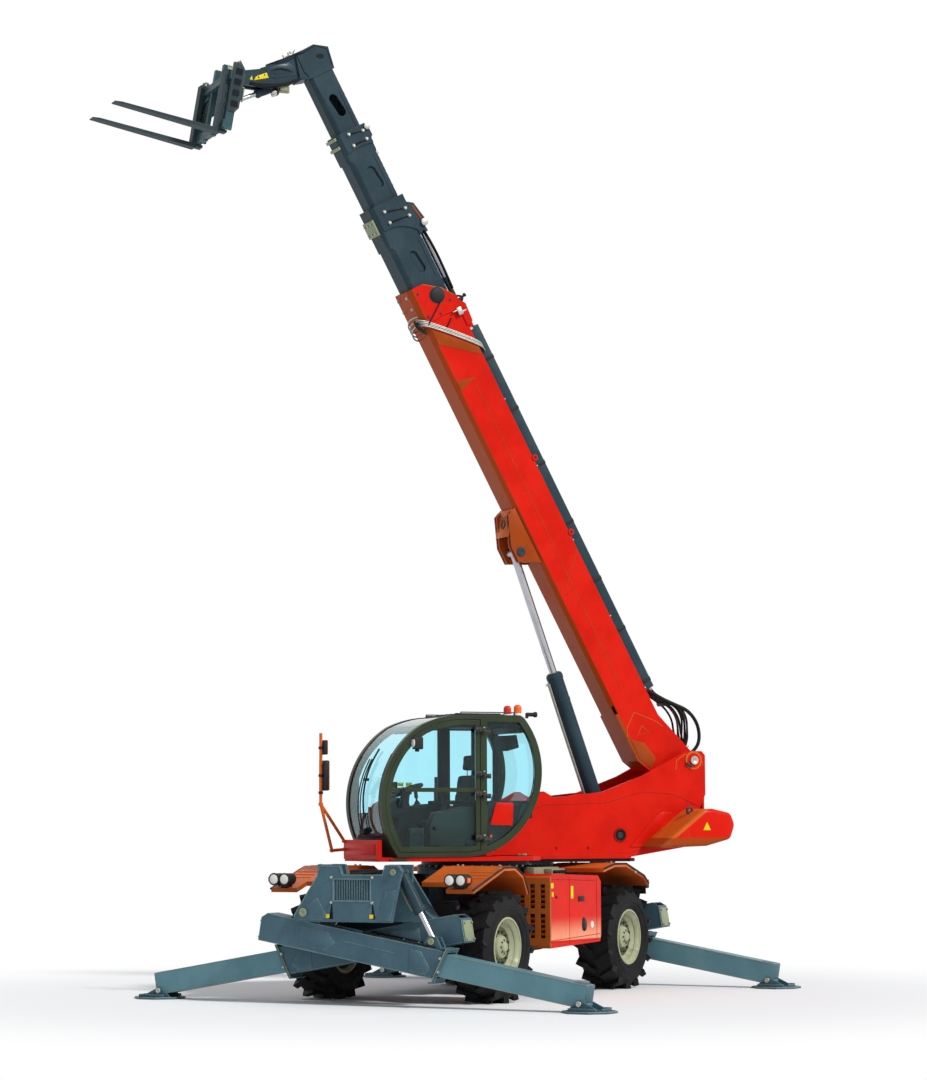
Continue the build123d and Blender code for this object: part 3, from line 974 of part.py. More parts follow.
with BuildPart() as carriage:
    for flank in (1, -1):
        slab(side(FORK, flank * (EAR_INNER + EAR_THICK / 2)), CARRIAGE_EAR, EAR_THICK)
        block(side(FORK), (-RAIL, 40), (-18, 860), flank * (EAR_INNER + 30) - 30, flank * (EAR_INNER + 30) + 30)
        block(side(FORK), (-RAIL - 50, 40), (-18, 800), flank * (CARRIAGE_WIDTH / 2 - 20) - 20,
              flank * (CARRIAGE_WIDTH / 2 - 20) + 20)
        boss = EAR_INNER + EAR_THICK - TILT_EYE_HALF - RUNNING
        bar(side(FORK, flank * (EAR_INNER + EAR_THICK - boss / 2)), TILT_HEAD, 34, boss)
    bar(side(FORK), CARRIAGE_PIN, CARRIAGE_PIN_RADIUS, ARM_WIDTH + 2 * RUNNING + 2 * EAR_THICK + 30)
    for low, high in ((50, 140), (SHANK_HIGH - 90, SHANK_HIGH)):
        block(side(FORK), (-RAIL, low), (0, high), -CARRIAGE_WIDTH / 2, CARRIAGE_WIDTH / 2)
carriage.part.label = "carriage"
export_step(carriage.part, "parts/carriage.step")

FORK_OUTLINE = (
    (0, 0), (FORK_LENGTH, 26), (FORK_LENGTH, 36), (FORK_LENGTH - 80, FORK_THICK), (FORK_THICK + 14, FORK_THICK),
    (FORK_THICK, FORK_THICK + 14), (FORK_THICK, SHANK_HIGH), (0, SHANK_HIGH),
)

with BuildPart() as forks:
    for flank in (1, -1):
        slab(side(FORK, flank * FORK_SPREAD / 2), FORK_OUTLINE, FORK_WIDTH)
forks.part.label = "forks"
export_step(forks.part, "parts/forks.step")

TILT_HEAD_T = in_parent(FORK_ANGLE, HEEL, TILT_HEAD)
TILT_LENGTH, TILT_ANGLE = reach(TILT_FOOT, TILT_HEAD_T)
TILT = tilted(TURRET, TILT_FOOT[0], BOOM_Y, TILT_FOOT[1], TILT_ANGLE)
TILT_ROD_LENGTH = 430.0
TILT_EYE = 70.0

with BuildPart() as tilt_barrel:
    bar(across(TILT, (30 + TILT_BARREL_LENGTH) / 2), (0, 0), TILT_BARREL_RADIUS, TILT_BARREL_LENGTH - 30)
    bar(side(TILT), (0, 0), TILT_BARREL_RADIUS - 8, TILT_EYE)
    bar(across(TILT, 75 + TILT_BARREL_LENGTH / 2), (0, 0), TILT_ROD_RADIUS + SEAT, TILT_BARREL_LENGTH,
        Mode.SUBTRACT)
    bar(side(TILT), (0, 0), TILT_PIN_RADIUS + SEAT, 2 * TILT_EYE, Mode.SUBTRACT)
tilt_barrel.part.label = "tilt_barrel"
export_step(tilt_barrel.part, "parts/tilt_barrel.step")

with BuildPart() as tilt_rod:
    bar(across(TILT, TILT_LENGTH - TILT_ROD_LENGTH / 2), (0, 0), TILT_ROD_RADIUS, TILT_ROD_LENGTH)
    bar(side(TILT), (TILT_LENGTH, 0), 36, 2 * TILT_EYE_HALF)
tilt_rod.part.label = "tilt_rod"
export_step(tilt_rod.part, "parts/tilt_rod.step")
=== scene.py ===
"""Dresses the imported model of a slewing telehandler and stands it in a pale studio."""

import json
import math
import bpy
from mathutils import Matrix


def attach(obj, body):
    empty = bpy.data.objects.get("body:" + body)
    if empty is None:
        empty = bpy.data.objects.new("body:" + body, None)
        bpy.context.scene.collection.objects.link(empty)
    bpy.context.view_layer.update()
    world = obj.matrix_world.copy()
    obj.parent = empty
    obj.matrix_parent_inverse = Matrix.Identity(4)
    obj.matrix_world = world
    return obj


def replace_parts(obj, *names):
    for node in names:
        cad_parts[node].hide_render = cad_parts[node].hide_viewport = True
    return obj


bl_info = {
    "name": "Slewing telehandler",
    "version": (1, 0, 0),
    "blender": (4, 5, 0),
    "location": "View3D > Sidebar > Telehandler",
    "description": "Builds the paint, fittings and studio of a slewing telehandler",
    "category": "Object",
}

import bmesh
import bpy
from mathutils import Euler, Matrix, Vector

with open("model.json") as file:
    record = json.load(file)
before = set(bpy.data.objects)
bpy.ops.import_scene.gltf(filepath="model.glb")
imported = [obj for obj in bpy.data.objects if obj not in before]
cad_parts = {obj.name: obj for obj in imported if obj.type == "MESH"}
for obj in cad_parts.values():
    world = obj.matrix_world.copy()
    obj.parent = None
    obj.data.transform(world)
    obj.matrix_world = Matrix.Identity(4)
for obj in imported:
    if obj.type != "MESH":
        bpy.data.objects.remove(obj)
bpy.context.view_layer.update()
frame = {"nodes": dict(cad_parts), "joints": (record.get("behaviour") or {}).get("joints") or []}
JOINTS = {joint["name"]: joint for joint in frame["joints"]}
UP = Vector((0, 0, 1))


# ---- frames: every piece is placed in the frame of what carries it ----------------------------
def basis(origin, forward, left):
    """A frame at a point, with x along forward and y along left."""
    forward, left = Vector(forward).normalized(), Vector(left).normalized()
    turned = Matrix((forward, left, forward.cross(left))).transposed().to_4x4()
    return Matrix.Translation(Vector(origin)) @ turned


LEFT = -Vector(JOINTS["boom_lift"]["axis"])
SLEW = Vector(JOINTS["slew"]["pos_m"])
CHASSIS = Matrix.Translation((SLEW.x, SLEW.y, 0))
TURRET = basis((SLEW.x, SLEW.y, 0), LEFT.cross(UP), LEFT)
BOOM = basis(JOINTS["boom_lift"]["pos_m"], JOINTS["telescope_1"]["axis"], LEFT)
FORK_ANGLE = math.radians(9.5)
CARRIAGE_PIN = Vector((-0.221, 0, 0.782))  # in the fork's frame, from the heel
FORK = basis((0, 0, 0), LEFT.cross(UP) * math.cos(FORK_ANGLE) + UP * math.sin(FORK_ANGLE), LEFT)
FORK = Matrix.Translation(Vector(JOINTS["fork_tilt"]["pos_m"]) - FORK @ CARRIAGE_PIN) @ FORK
LIFT = basis(JOINTS["lift_barrel"]["pos_m"], JOINTS["lift_rod"]["axis"], LEFT)
TILT = basis(JOINTS["tilt_barrel"]["pos_m"], JOINTS["tilt_rod"]["axis"], LEFT)


# ---- shader maths ----------------------------------------------------------------------------
class Level:
    """A number that changes over a surface. Python's operators add the Math nodes."""

    def __init__(self, shader, socket):
        self.shader = shader
        self.socket = socket

    def __add__(self, other):
        return self.shader.maths("ADD", self, other)

    def __sub__(self, other):
        return self.shader.maths("SUBTRACT", self, other)

    def __mul__(self, other):
        return self.shader.maths("MULTIPLY", self, other)

    def __rsub__(self, other):
        return self.shader.maths("SUBTRACT", other, self)

    __radd__ = __add__
    __rmul__ = __mul__

    def ramp(self, low, high):
        """0 below low and 1 above high, smooth between."""
        return self.shader.node("ShaderNodeMapRange", {"interpolation_type": "SMOOTHSTEP"},
                                {"Value": self, "From Min": low, "From Max": high})


class Shader:
    """The node tree of one material, or of the sky."""

    def __init__(self, name, kind="materials"):
        self.owner = getattr(bpy.data, kind).new(name)
        self.owner.use_nodes = True
        self.tree = self.owner.node_tree
        self.tree.nodes.clear()
        self.place = self.node("ShaderNodeTexCoord", {}, {}, "Object")

    def node(self, kind, settings, values, output=0):
        """Adds a node, sets it up, fills or links its sockets and returns one of its outputs."""
        made = self.tree.nodes.new(kind)
        for setting, value in settings.items():
            setattr(made, setting, value)
        for socket, value in values.items():
            if isinstance(value, Level):
                self.tree.links.new(value.socket, made.inputs[socket])
            else:
                made.inputs[socket].default_value = value
        return Level(self, made.outputs[output]) if made.outputs else None

    def maths(self, operation, *values):
        return self.node("ShaderNodeMath", {"operation": operation}, dict(enumerate(values)))

    def noise(self, scale, detail=3.0, roughness=0.5, vector=None):
        return self.node("ShaderNodeTexNoise", {}, {
            "Vector": vector or self.place, "Scale": scale, "Detail": detail, "Roughness": roughness})

    def stretched(self, x, y, z):
        return self.node("ShaderNodeMapping", {}, {"Vector": self.place, "Scale": (x, y, z)})

    def mix(self, factor, low, high):
        """One colour turning into another."""
        def rgba(colour):
            return colour if isinstance(colour, Level) else (*colour, 1)
        return self.node("ShaderNodeMix", {"data_type": "RGBA"}, {0: factor, 6: rgba(low), 7: rgba(high)}, 2)

    def along(self, place, index):
        """How far a point lies along one of a frame's axes."""
        direction = place.col[index].to_3d()
        far = self.node("ShaderNodeVectorMath", {"operation": "DOT_PRODUCT"}, {0: self.place, 1: direction}, "Value")
        return far - direction.dot(place.translation)

    def zoned(self, tone, painted_light_zones):
        """Repaints what lies beyond a height on a frame's axis, which here paints shade and highlights by height:
        (frame, axis, low, high, colour).
        """
        for place, index, low, high, colour in painted_light_zones:
            far = self.along(place, index)
            tone = self.mix(far.ramp(low, high) if low < high else 1 - far.ramp(high, low), tone, colour)
        return tone

    def edges(self, radius):
        """1 along the outer edges of a solid and 0 on its flat faces, and the softened normal."""
        soft = self.node("ShaderNodeBevel", {"samples": 4}, {"Radius": radius})
        true = self.node("ShaderNodeNewGeometry", {}, {}, "True Normal")
        across = self.node("ShaderNodeVectorMath", {"operation": "DOT_PRODUCT"}, {0: soft, 1: true}, "Value")
        return (1 - across).ramp(0.004, 0.09), soft

    def finish(self, **values):
        """Ends the tree in a Principled shader. Names are the sockets', with _ for a space."""
        surface = self.node("ShaderNodeBsdfPrincipled", {}, {
            name.replace("_", " "): value for name, value in values.items()})
        self.node("ShaderNodeOutputMaterial", {}, {"Surface": surface})
        return self.owner

    def shown(self):
        """1 for what the camera sees, straight or in a mirror or a pane, and 0 for light."""
        camera, glossy, through = (self.node("ShaderNodeLightPath", {}, {}, ray) for ray in (
            "Is Camera Ray", "Is Glossy Ray", "Is Transmission Ray"))
        return self.maths("MAXIMUM", camera, self.maths("MAXIMUM", glossy, through))


def painted(name, colour, wear, roughness=0.36, grime=0.3, dust=(0.20, 0.16, 0.10), edge=0.004, painted_light_zones=()):
    """Sprayed paint: uneven gloss, orange peel, dust in patches and wear along the edges, which on the darker paints is
    also a painted edge highlight.
    """
    shader = Shader(name)
    edge_wear_and_highlight, soft = shader.edges(edge)
    clouds = shader.noise(2.6, 5.0, 0.6)
    streaks = shader.noise(1.0, 6.0, 0.65, shader.stretched(22, 22, 2.2))
    chips = shader.noise(55.0, 4.0, 0.7)
    dirt = (clouds * 0.6 + streaks * 0.4).ramp(0.47, 0.72) * grime
    shade = shader.mix(clouds.ramp(0.3, 0.7), [c * 0.86 for c in colour], [min(1, c * 1.08) for c in colour])
    # the zones paint shade and highlights by height, under the dust
    dusty = shader.mix(dirt, shader.zoned(shade, painted_light_zones), dust)
    # chipped edges in the wear colour: worn paint, and where that colour is paler than the paint, a painted edge
    # highlight
    chipped_and_lit_edges = edge_wear_and_highlight * chips.ramp(0.36, 0.58) * 0.8
    tone = shader.mix(chipped_and_lit_edges, dusty, wear)
    peel = shader.noise(420.0, 2.0)
    bump = shader.node("ShaderNodeBump", {}, {
        "Strength": 0.045, "Distance": 0.002, "Height": peel + streaks * 0.6, "Normal": soft})
    return shader.finish(Base_Color=tone, Roughness=dirt * 0.5 + (clouds * 0.10 + (roughness - 0.05)),
                         Specular_IOR_Level=0.08, Coat_Weight=0.03, Coat_Roughness=0.12, Normal=bump)


def rubber(name, colour, dust, scale=60.0):
    """Moulded rubber, greyed by dust that settles in patches."""
    shader = Shader(name)
    clouds = shader.noise(5.0, 5.0, 0.65)
    grain = shader.noise(scale, 4.0, 0.7)
    settled = (clouds * 0.65 + grain * 0.35).ramp(0.45, 0.68) * 0.55
    tone = shader.mix(settled, colour, dust)
    bump = shader.node("ShaderNodeBump", {}, {"Strength": 0.25, "Distance": 0.003, "Height": grain})
    return shader.finish(Base_Color=tone, Roughness=0.62 + settled * 0.3, Specular_IOR_Level=0.18, Normal=bump)


def cast(name, colour, rust):
    """Rough cast or scaled metal with rust in its low places, and paler edges that are partly wear and partly a painted
    highlight.
    """
    shader = Shader(name)
    edge_wear_and_highlight, soft = shader.edges(0.004)
    clouds = shader.noise(7.0, 6.0, 0.7)
    grain = shader.noise(160.0, 5.0, 0.7)
    tone = shader.mix(clouds.ramp(0.46, 0.66) * 0.7, colour, rust)
    tone = shader.mix(edge_wear_and_highlight * 0.4, tone, (0.32, 0.31, 0.29))
    bump = shader.node("ShaderNodeBump", {}, {
        "Strength": 0.35, "Distance": 0.002, "Height": grain + clouds, "Normal": soft})
    return shader.finish(Base_Color=tone, Roughness=0.55 + clouds * 0.3, Metallic=0.35, Normal=bump)


def polished(name, colour, roughness):
    """Bright metal with fine marks that run round or along it."""
    shader = Shader(name)
    marks = shader.noise(3.0, 6.0, 0.75, shader.stretched(60, 60, 60))
    smears = shader.noise(9.0, 4.0, 0.6)
    tone = shader.mix(smears.ramp(0.4, 0.75) * 0.35, colour, [c * 0.62 for c in colour])
    bump = shader.node("ShaderNodeBump", {}, {"Strength": 0.05, "Distance": 0.001, "Height": marks})
    return shader.finish(Base_Color=tone, Roughness=marks * 0.16 + (smears * 0.18 + roughness), Metallic=1.0,
                         Normal=bump)


def plastic(name, colour, roughness=0.5, grain=500.0):
    """Moulded plastic with a fine leather grain."""
    shader = Shader(name)
    clouds = shader.noise(4.0, 4.0)
    pores = shader.noise(grain, 3.0)
    tone = shader.mix(clouds.ramp(0.4, 0.7) * 0.3, colour, [c * 0.7 + 0.03 for c in colour])
    bump = shader.node("ShaderNodeBump", {}, {"Strength": 0.12, "Distance": 0.001, "Height": pores})
    return shader.finish(Base_Color=tone, Roughness=roughness + clouds * 0.15, Specular_IOR_Level=0.25, Normal=bump)


def glazing(name, tint):
    """Tinted glass that light passes through, with faint smears."""
    shader = Shader(name)
    smears = shader.noise(3.0, 5.0, 0.6)
    tone = shader.mix(smears.ramp(0.35, 0.75), tint, [c * 0.985 for c in tint])
    return shader.finish(Base_Color=tone, Roughness=smears.ramp(0.5, 0.85) * 0.04 + 0.01, IOR=1.28,
                         Transmission_Weight=1.0)


MATERIALS = {}


def make_materials():
    """Every finish of the machine, by name."""
    chosen = bpy.context.scene.telehandler_colours
    # brown is the Shade colour: painted shade that stands for the shadow on the boom's underside, its end bands, the
    # bracket and the counterweight's bottom, and also the colour of some seams, grooves and plates
    red, brown, orange = list(chosen.body), list(chosen.shade), list(chosen.trim)
    rubbed, fleck, teal_dust = (0.40, 0.04, 0.015), (0.42, 0.16, 0.07), (0.055, 0.085, 0.095)
    red_dust, orange_dust = (0.46, 0.024, 0.006), (0.42, 0.12, 0.03)
    # z points out of the casting's sloping front: on and near that face the orange stays, a painted highlight, and
    # deeper behind it the casting turns red
    tail = TURRET @ Matrix.Translation((-2.580, 0, 2.030)) @ Matrix.Rotation(math.radians(37), 4, "Y")
    MATERIALS.update(
        red=painted("body_red", red, rubbed, dust=red_dust),
        # below the lower edge of its flanks the boom turns brown: painted shade on its underside
        boom_red=painted("boom_red", red, rubbed, dust=red_dust, painted_light_zones=((BOOM, 2, -0.528, -0.536, brown),)),
        # the hood's flank fades to pale pink below 0.88–0.62 m, a painted sheen, and is red again below 0.60 m; its
        # front beyond 0.51 m is brown-orange, painted shade
        hood_red=painted("hood_red", red, rubbed, dust=red_dust, painted_light_zones=(
            (CHASSIS, 2, 0.88, 0.62, (0.80, 0.30, 0.17)), (CHASSIS, 2, 0.606, 0.600, red),
            (CHASSIS, 0, 0.505, 0.515, (0.42, 0.105, 0.018)))),
        orange=painted("fender_orange", orange, fleck, dust=orange_dust),
        # below 1.335–1.20 m the fender paint turns dark brown: painted shade on the lower, forward-facing parts
        fender=painted("fender_paint", orange, fleck, dust=orange_dust, painted_light_zones=(
            (CHASSIS, 2, 1.335, 1.20, (0.40, 0.075, 0.012)),)),
        # below 1.72–1.69 m the casting turns brown, painted shade along its bottom
        weight=painted("weight_paint", orange, fleck, dust=orange_dust, painted_light_zones=(
            (tail, 2, -0.030, -0.050, red), (TURRET, 2, 1.720, 1.690, brown))),
        deep_red=painted("seam_red", (0.30, 0.008, 0.004), (0.35, 0.05, 0.03), grime=0.2, edge=0.001),
        olive=painted("wheel_olive", (0.085, 0.095, 0.040), (0.25, 0.26, 0.14), grime=0.5),
        brown=painted("shaded_brown", brown, fleck, dust=(0.2, 0.06, 0.02)),
        # the legs' pale wear colours make their edges lighter: worn paint and a painted edge highlight
        grey=painted("leg_blue_grey", list(chosen.legs), (0.34, 0.40, 0.30), roughness=0.42, edge=0.006,
                     dust=(0.12, 0.17, 0.18)),
        pale_grey=painted("inner_leg_grey", list(chosen.inner_legs), (0.45, 0.48, 0.33), roughness=0.4, edge=0.006,
                          dust=(0.15, 0.20, 0.19)),
        dark=painted("boom_dark_grey", list(chosen.boom), (0.13, 0.19, 0.20), roughness=0.4, dust=teal_dust),
        cab=painted("cab_dark_green", list(chosen.cab), (0.11, 0.14, 0.09), roughness=0.3,
                    dust=(0.04, 0.05, 0.03)),
        rim=painted("rim_cream", list(chosen.rims), (0.20, 0.22, 0.10), dust=(0.12, 0.14, 0.06), grime=0.7),
        teal=painted("carriage_teal", (0.040, 0.085, 0.095), (0.22, 0.32, 0.30), dust=(0.10, 0.20, 0.20)),
        slate=painted("fork_slate", (0.030, 0.050, 0.058), (0.22, 0.20, 0.12), roughness=0.5,
                      dust=(0.06, 0.08, 0.08)),
        tyre=rubber("tyre_rubber", (0.006, 0.006, 0.007), (0.026, 0.024, 0.021)),
        brown_hose=rubber("hose_brown", (0.07, 0.025, 0.012), (0.05, 0.04, 0.03), 300.0),
        # near-black for dark seams, and painted shade where plates stand for holes, slots, recesses and vents
        dark_gap=painted("dark_gap", (0.008, 0.011, 0.013), (0.02, 0.03, 0.03), grime=0.1, edge=0.001),
        hose=rubber("hose_rubber", (0.007, 0.007, 0.008), (0.025, 0.025, 0.025), 300.0),
        iron=cast("axle_iron", (0.018, 0.018, 0.019), (0.06, 0.035, 0.022)),
        chrome=polished("rod_chrome", (0.46, 0.47, 0.50), 0.12),
        zinc=polished("zinc_steel", (0.42, 0.42, 0.38), 0.30),
        brass=polished("fitting_brass", (0.60, 0.42, 0.18), 0.25),
        black=plastic("black_plastic", (0.010, 0.010, 0.011)),
        fabric=plastic("seat_cloth", (0.022, 0.024, 0.026), 0.85, 900.0),
        beacon=plastic("beacon_orange", (0.85, 0.12, 0.01), 0.15),
        yellow=painted("plate_yellow", (0.85, 0.66, 0.01), (0.5, 0.4, 0.1), grime=0.15, edge=0.001),
        white=painted("plate_white", (0.80, 0.79, 0.74), (0.4, 0.4, 0.35), grime=0.2, edge=0.001),
        cream=painted("primer_cream", (0.28, 0.32, 0.20), (0.18, 0.19, 0.11), grime=0.5),
        glass=glazing("cab_glass_tint", (0.630, 0.925, 0.988)),
        moss=plastic("console_moss", (0.016, 0.021, 0.014), 0.45),
        mirror=polished("mirror_face", (0.72, 0.76, 0.78), 0.03),
        red_lens=plastic("beacon_red", (0.75, 0.02, 0.01), 0.15),
    )


# which finish each CAD node is given
FINISHES = {
    "red": ("turret_frame", "tank_box"),
    "boom_red": ("boom_base",),
    "hood_red": ("engine_hood",),
    "fender": ("fenders",),
    "weight": ("counterweight",),
    "orange": ("mirror_arm",),
    "grey": ("stabiliser_frames", "_outer", "_pad"),
    "pale_grey": ("_inner",),
    "dark": ("boom_section_1", "boom_section_2", "boom_section_3", "lift_barrel", "_barrel", "chassis_frame"),
    "cab": ("cab_frame", "cab_door"),
    "rim": ("rim_",),
    "teal": ("carriage",),
    "slate": ("forks",),
    "tyre": ("tyre_",),
    "iron": ("knuckle_", "axle_beams", "engine_block"),
    "chrome": ("_rod",),
    "black": ("headlamps", "controls"),
    "fabric": ("seat",),
    "beacon": ("beacons",),
    "glass": ("cab_glass", "door_glass"),
}


def finish_of(node):
    """The finish whose list names a node, or the start or end of its name."""
    for finish, patterns in FINISHES.items():
        for pattern in patterns:
            if node == pattern or (pattern[0] == "_" and node.endswith(pattern)) or (
                    pattern[-1] == "_" and node.startswith(pattern)):
                return MATERIALS[finish]
    raise ValueError(f"no finish for {node}")


# ---- sizes and colours that a user would change ----------------------------------------------
def colour(name, description, default):
    """A colour that the panel shows."""
    return bpy.props.FloatVectorProperty(
        name=name, description=description, default=default, subtype="COLOR", min=0, max=1)


def number(name, description, default, **limits):
    """A size, an angle or a strength that the panel shows."""
    return bpy.props.FloatProperty(name=name, description=description, default=default, **limits)


class PaintColours(bpy.types.PropertyGroup):
    """The colours that a fleet would have changed."""

    body: colour("Body", "Boom base, turret and hood", (0.640, 0.009, 0.002))
    trim: colour("Trim", "Fenders, counterweight and mirror arm", (0.640, 0.120, 0.014))
    # Shade is painted shade: the brown of the boom's underside, the bands near its head, the bracket and the
    # counterweight's bottom, and also of some seams and grooves
    shade: colour("Shade", "Boom's underside and stiffeners", (0.340, 0.052, 0.005))
    boom: colour("Boom sections", "Telescoping sections and cylinder barrels", (0.026, 0.048, 0.062))
    legs: colour("Legs", "Stabiliser frames, outer legs and pads", (0.068, 0.135, 0.172))
    inner_legs: colour("Inner legs", "Legs that slide out", (0.125, 0.260, 0.305))
    cab: colour("Cab", "Cab frame and door", (0.036, 0.050, 0.028))
    rims: colour("Rims", "Wheel rims", (0.400, 0.420, 0.270))


class FittingSizes(bpy.types.PropertyGroup):
    """Sizes of the fittings that are made by the hundred."""

    weld: number("Weld bead", "Radius of a plain weld or seam", 0.004, min=0.001, unit="LENGTH")
    hose: number("Root hoses", "Radius of the hoses at the boom's root", 0.0125, min=0.004, unit="LENGTH")
    washer: number("Washers", "Width of a washer against its bolt's head", 1.35, min=1.1, subtype="FACTOR")


class StudioSettings(bpy.types.PropertyGroup):
    """Where the camera stands and how the studio is lit."""

    azimuth: number("Azimuth", "Camera's bearing from the machine's front towards its left", math.radians(28.2),
                    subtype="ANGLE")
    distance: number("Distance", "From the slew axis to the camera", 33.1, unit="LENGTH")
    height: number("Height", "Camera above the floor", 1.89, unit="LENGTH")
    sideways: number("Sideways", "Camera to the right of the bearing", -0.116, unit="LENGTH")
    pitch: number("Pitch", "How far the camera looks up", math.radians(5.467), subtype="ANGLE")
    roll: number("Roll", "Camera turned about its own axis", math.radians(0.2), subtype="ANGLE")
    lens: number("Lens", "Focal length on a frame 36 mm wide", 114.52, min=10)
    sun: number("Sun", "Strength of the key light", 2.5, min=0)
    sky: number("Sky", "Strength of the light from all round", 0.5, min=0)


# ---- modelling helpers -----------------------------------------------------------------------
LEFTWARD, RIGHTWARD = (-90, 0, 0), (90, 0, 0)
FORWARD, BACKWARD = (0, 90, 0), (0, -90, 0)
DOWNWARD = (180, 0, 0)
CORNERS = ("front_left", "front_right", "rear_left", "rear_right")


def start(add, **options):
    """Adds one primitive with nothing else selected, and returns it."""
    bpy.ops.object.select_all(action="DESELECT")
    add(**options)
    return bpy.context.object


def pick(piece, kind, chosen):
    """Opens a piece in edit mode with the faces, edges or corners selected that pass a test."""
    bpy.context.view_layer.objects.active = piece
    bpy.ops.object.mode_set(mode="EDIT")
    bpy.ops.mesh.select_mode(type=kind)
    bpy.ops.mesh.select_all(action="DESELECT")
    mesh = bmesh.from_edit_mesh(piece.data)
    for element in {"FACE": mesh.faces, "EDGE": mesh.edges, "VERT": mesh.verts}[kind]:
        if chosen(element):
            element.select_set(True)
    mesh.select_flush_mode()
    bmesh.update_edit_mesh(piece.data)


def close():
    """Turns the faces outwards and leaves edit mode."""
    bpy.ops.mesh.select_all(action="SELECT")
    bpy.ops.mesh.normals_make_consistent(inside=False)
    bpy.ops.object.mode_set(mode="OBJECT")


def modify(piece, kind, **settings):
    """Adds a modifier and applies it."""
    bpy.context.view_layer.objects.active = piece
    modifier = piece.modifiers.new("shape", kind)
    for name, value in settings.items():
        setattr(modifier, name, value)
    bpy.ops.object.modifier_apply(modifier="shape")
    return piece


def rounded(piece, width, segments=2, angle=35):
    """A piece with its corners eased where two faces meet at more than an angle."""
    return modify(piece, "BEVEL", width=width, segments=segments, limit_method="ANGLE",
                  angle_limit=math.radians(angle))


def prism(outline, low, high, axis="y", edge=0.003):
    """A solid that runs from low to high along an axis, cut to an outline in the other two."""
    along = "xyz".index(axis)
    piece = start(bpy.ops.mesh.primitive_circle_add, vertices=len(outline), fill_type="NGON")
    for corner, flat in zip(piece.data.vertices, outline):
        flat = list(flat)
        flat.insert(along, low)
        corner.co = flat
    pick(piece, "FACE", lambda face: True)
    bpy.ops.mesh.extrude_region_move(TRANSFORM_OT_translate={
        "value": [high - low if index == along else 0 for index in range(3)]})
    close()
    return rounded(piece, edge) if edge else piece


def slab(low, high, edge=0.004, segments=2):
    """A block between two corners with eased edges."""
    piece = start(bpy.ops.mesh.primitive_cube_add, size=1, location=[(a + b) / 2 for a, b in zip(low, high)])
    piece.scale = [b - a for a, b in zip(low, high)]
    bpy.ops.object.transform_apply(location=True, rotation=False, scale=True)
    return rounded(piece, edge, segments)


def turned(profile, steps=24, ring=False):
    """A solid of revolution about z from (radius, height) points, which close on themselves in a ring."""
    piece = start(bpy.ops.mesh.primitive_circle_add, vertices=len(profile), fill_type="NOTHING")
    for corner, (radius, height) in zip(piece.data.vertices, profile):
        corner.co = (radius, 0, height)
    if not ring:
        last = len(profile) - 1
        pick(piece, "EDGE", lambda edge: {corner.index for corner in edge.verts} == {0, last})
        bpy.ops.mesh.delete(type="EDGE")
        bpy.ops.object.mode_set(mode="OBJECT")
    pick(piece, "EDGE", lambda edge: True)
    bpy.ops.mesh.spin(steps=steps, angle=math.tau, center=(0, 0, 0), axis=(0, 0, 1))
    bpy.ops.mesh.select_all(action="SELECT")
    bpy.ops.mesh.remove_doubles(threshold=0.00001)
    close()
    return piece


def pipe(points, radius, smooth=True, resolution=6, sides=3):
    """A tube that follows points, through its bends in smooth curves or in straight runs."""
    piece = start(bpy.ops.curve.primitive_nurbs_path_add)
    curve = piece.data
    curve.splines.clear()
    spline = curve.splines.new("NURBS" if smooth else "POLY")
    spline.points.add(len(points) - 1)
    for point, place in zip(spline.points, points):
        point.co = (*place, 1)
    if smooth:
        spline.order_u = 3
        spline.use_endpoint_u = True
    curve.resolution_u = resolution
    curve.bevel_depth = radius
    curve.bevel_resolution = sides
    curve.use_fill_caps = True
    bpy.ops.object.convert(target="MESH")
    return bpy.context.object


def joined(pieces):
    """Several pieces made one."""
    bpy.ops.object.select_all(action="DESELECT")
    for piece in pieces:
        piece.select_set(True)
    bpy.context.view_layer.objects.active = pieces[0]
    if len(pieces) > 1:
        bpy.ops.object.join()
    return bpy.context.object


def copies(master, places):
    """One piece made of copies of a master, each with its own mesh, at every place."""
    made = []
    for place in places:
        copy = master.copy()
        copy.data = master.data.copy()
        copy.data.transform(place)
        bpy.context.scene.collection.objects.link(copy)
        made.append(copy)
    bpy.data.objects.remove(master)
    return joined(made)


def again(piece):
    """A copy of a piece with its own mesh."""
    copy = piece.copy()
    copy.data = piece.data.copy()
    bpy.context.scene.collection.objects.link(copy)
    return copy


def discard(pieces):
    """Removes the masters, given as (name, piece, finish), that copies were made from."""
    for _, piece, _ in pieces:
        bpy.data.objects.remove(piece)


def at(x, y, z, turn=(0, 0, 0)):
    """A place in a frame, turned about that frame's x, y and z in degrees."""
    return Matrix.Translation((x, y, z)) @ Euler([math.radians(angle) for angle in turn]).to_matrix().to_4x4()


def moved(piece, place):
    """A piece with its mesh put in a place."""
    piece.data.transform(place)
    return piece


# the record's slot for each finish
SLOTS = {
    "red": "red_paint", "orange": "orange_paint", "brown": "orange_paint", "grey": "grey_paint",
    "pale_grey": "grey_paint", "dark": "dark_paint", "cab": "cab_paint", "rim": "rim_paint",
    "teal": "teal_paint", "slate": "slate_steel", "tyre": "tread", "hose": "tread", "brown_hose": "tread",
    "dark_gap": "dark_paint", "iron": "iron",
    "chrome": "rod_chrome", "zinc": "rod_chrome", "brass": "rod_chrome", "black": "black_plastic",
    "fabric": "black_plastic", "beacon": "beacon_plastic", "red_lens": "beacon_plastic",
    "boom_red": "red_paint", "weight": "orange_paint", "fender": "orange_paint",
    "deep_red": "red_paint", "olive": "rim_paint", "moss": "black_plastic", "mirror": "rod_chrome",
    "glass": "cab_glazing",
}


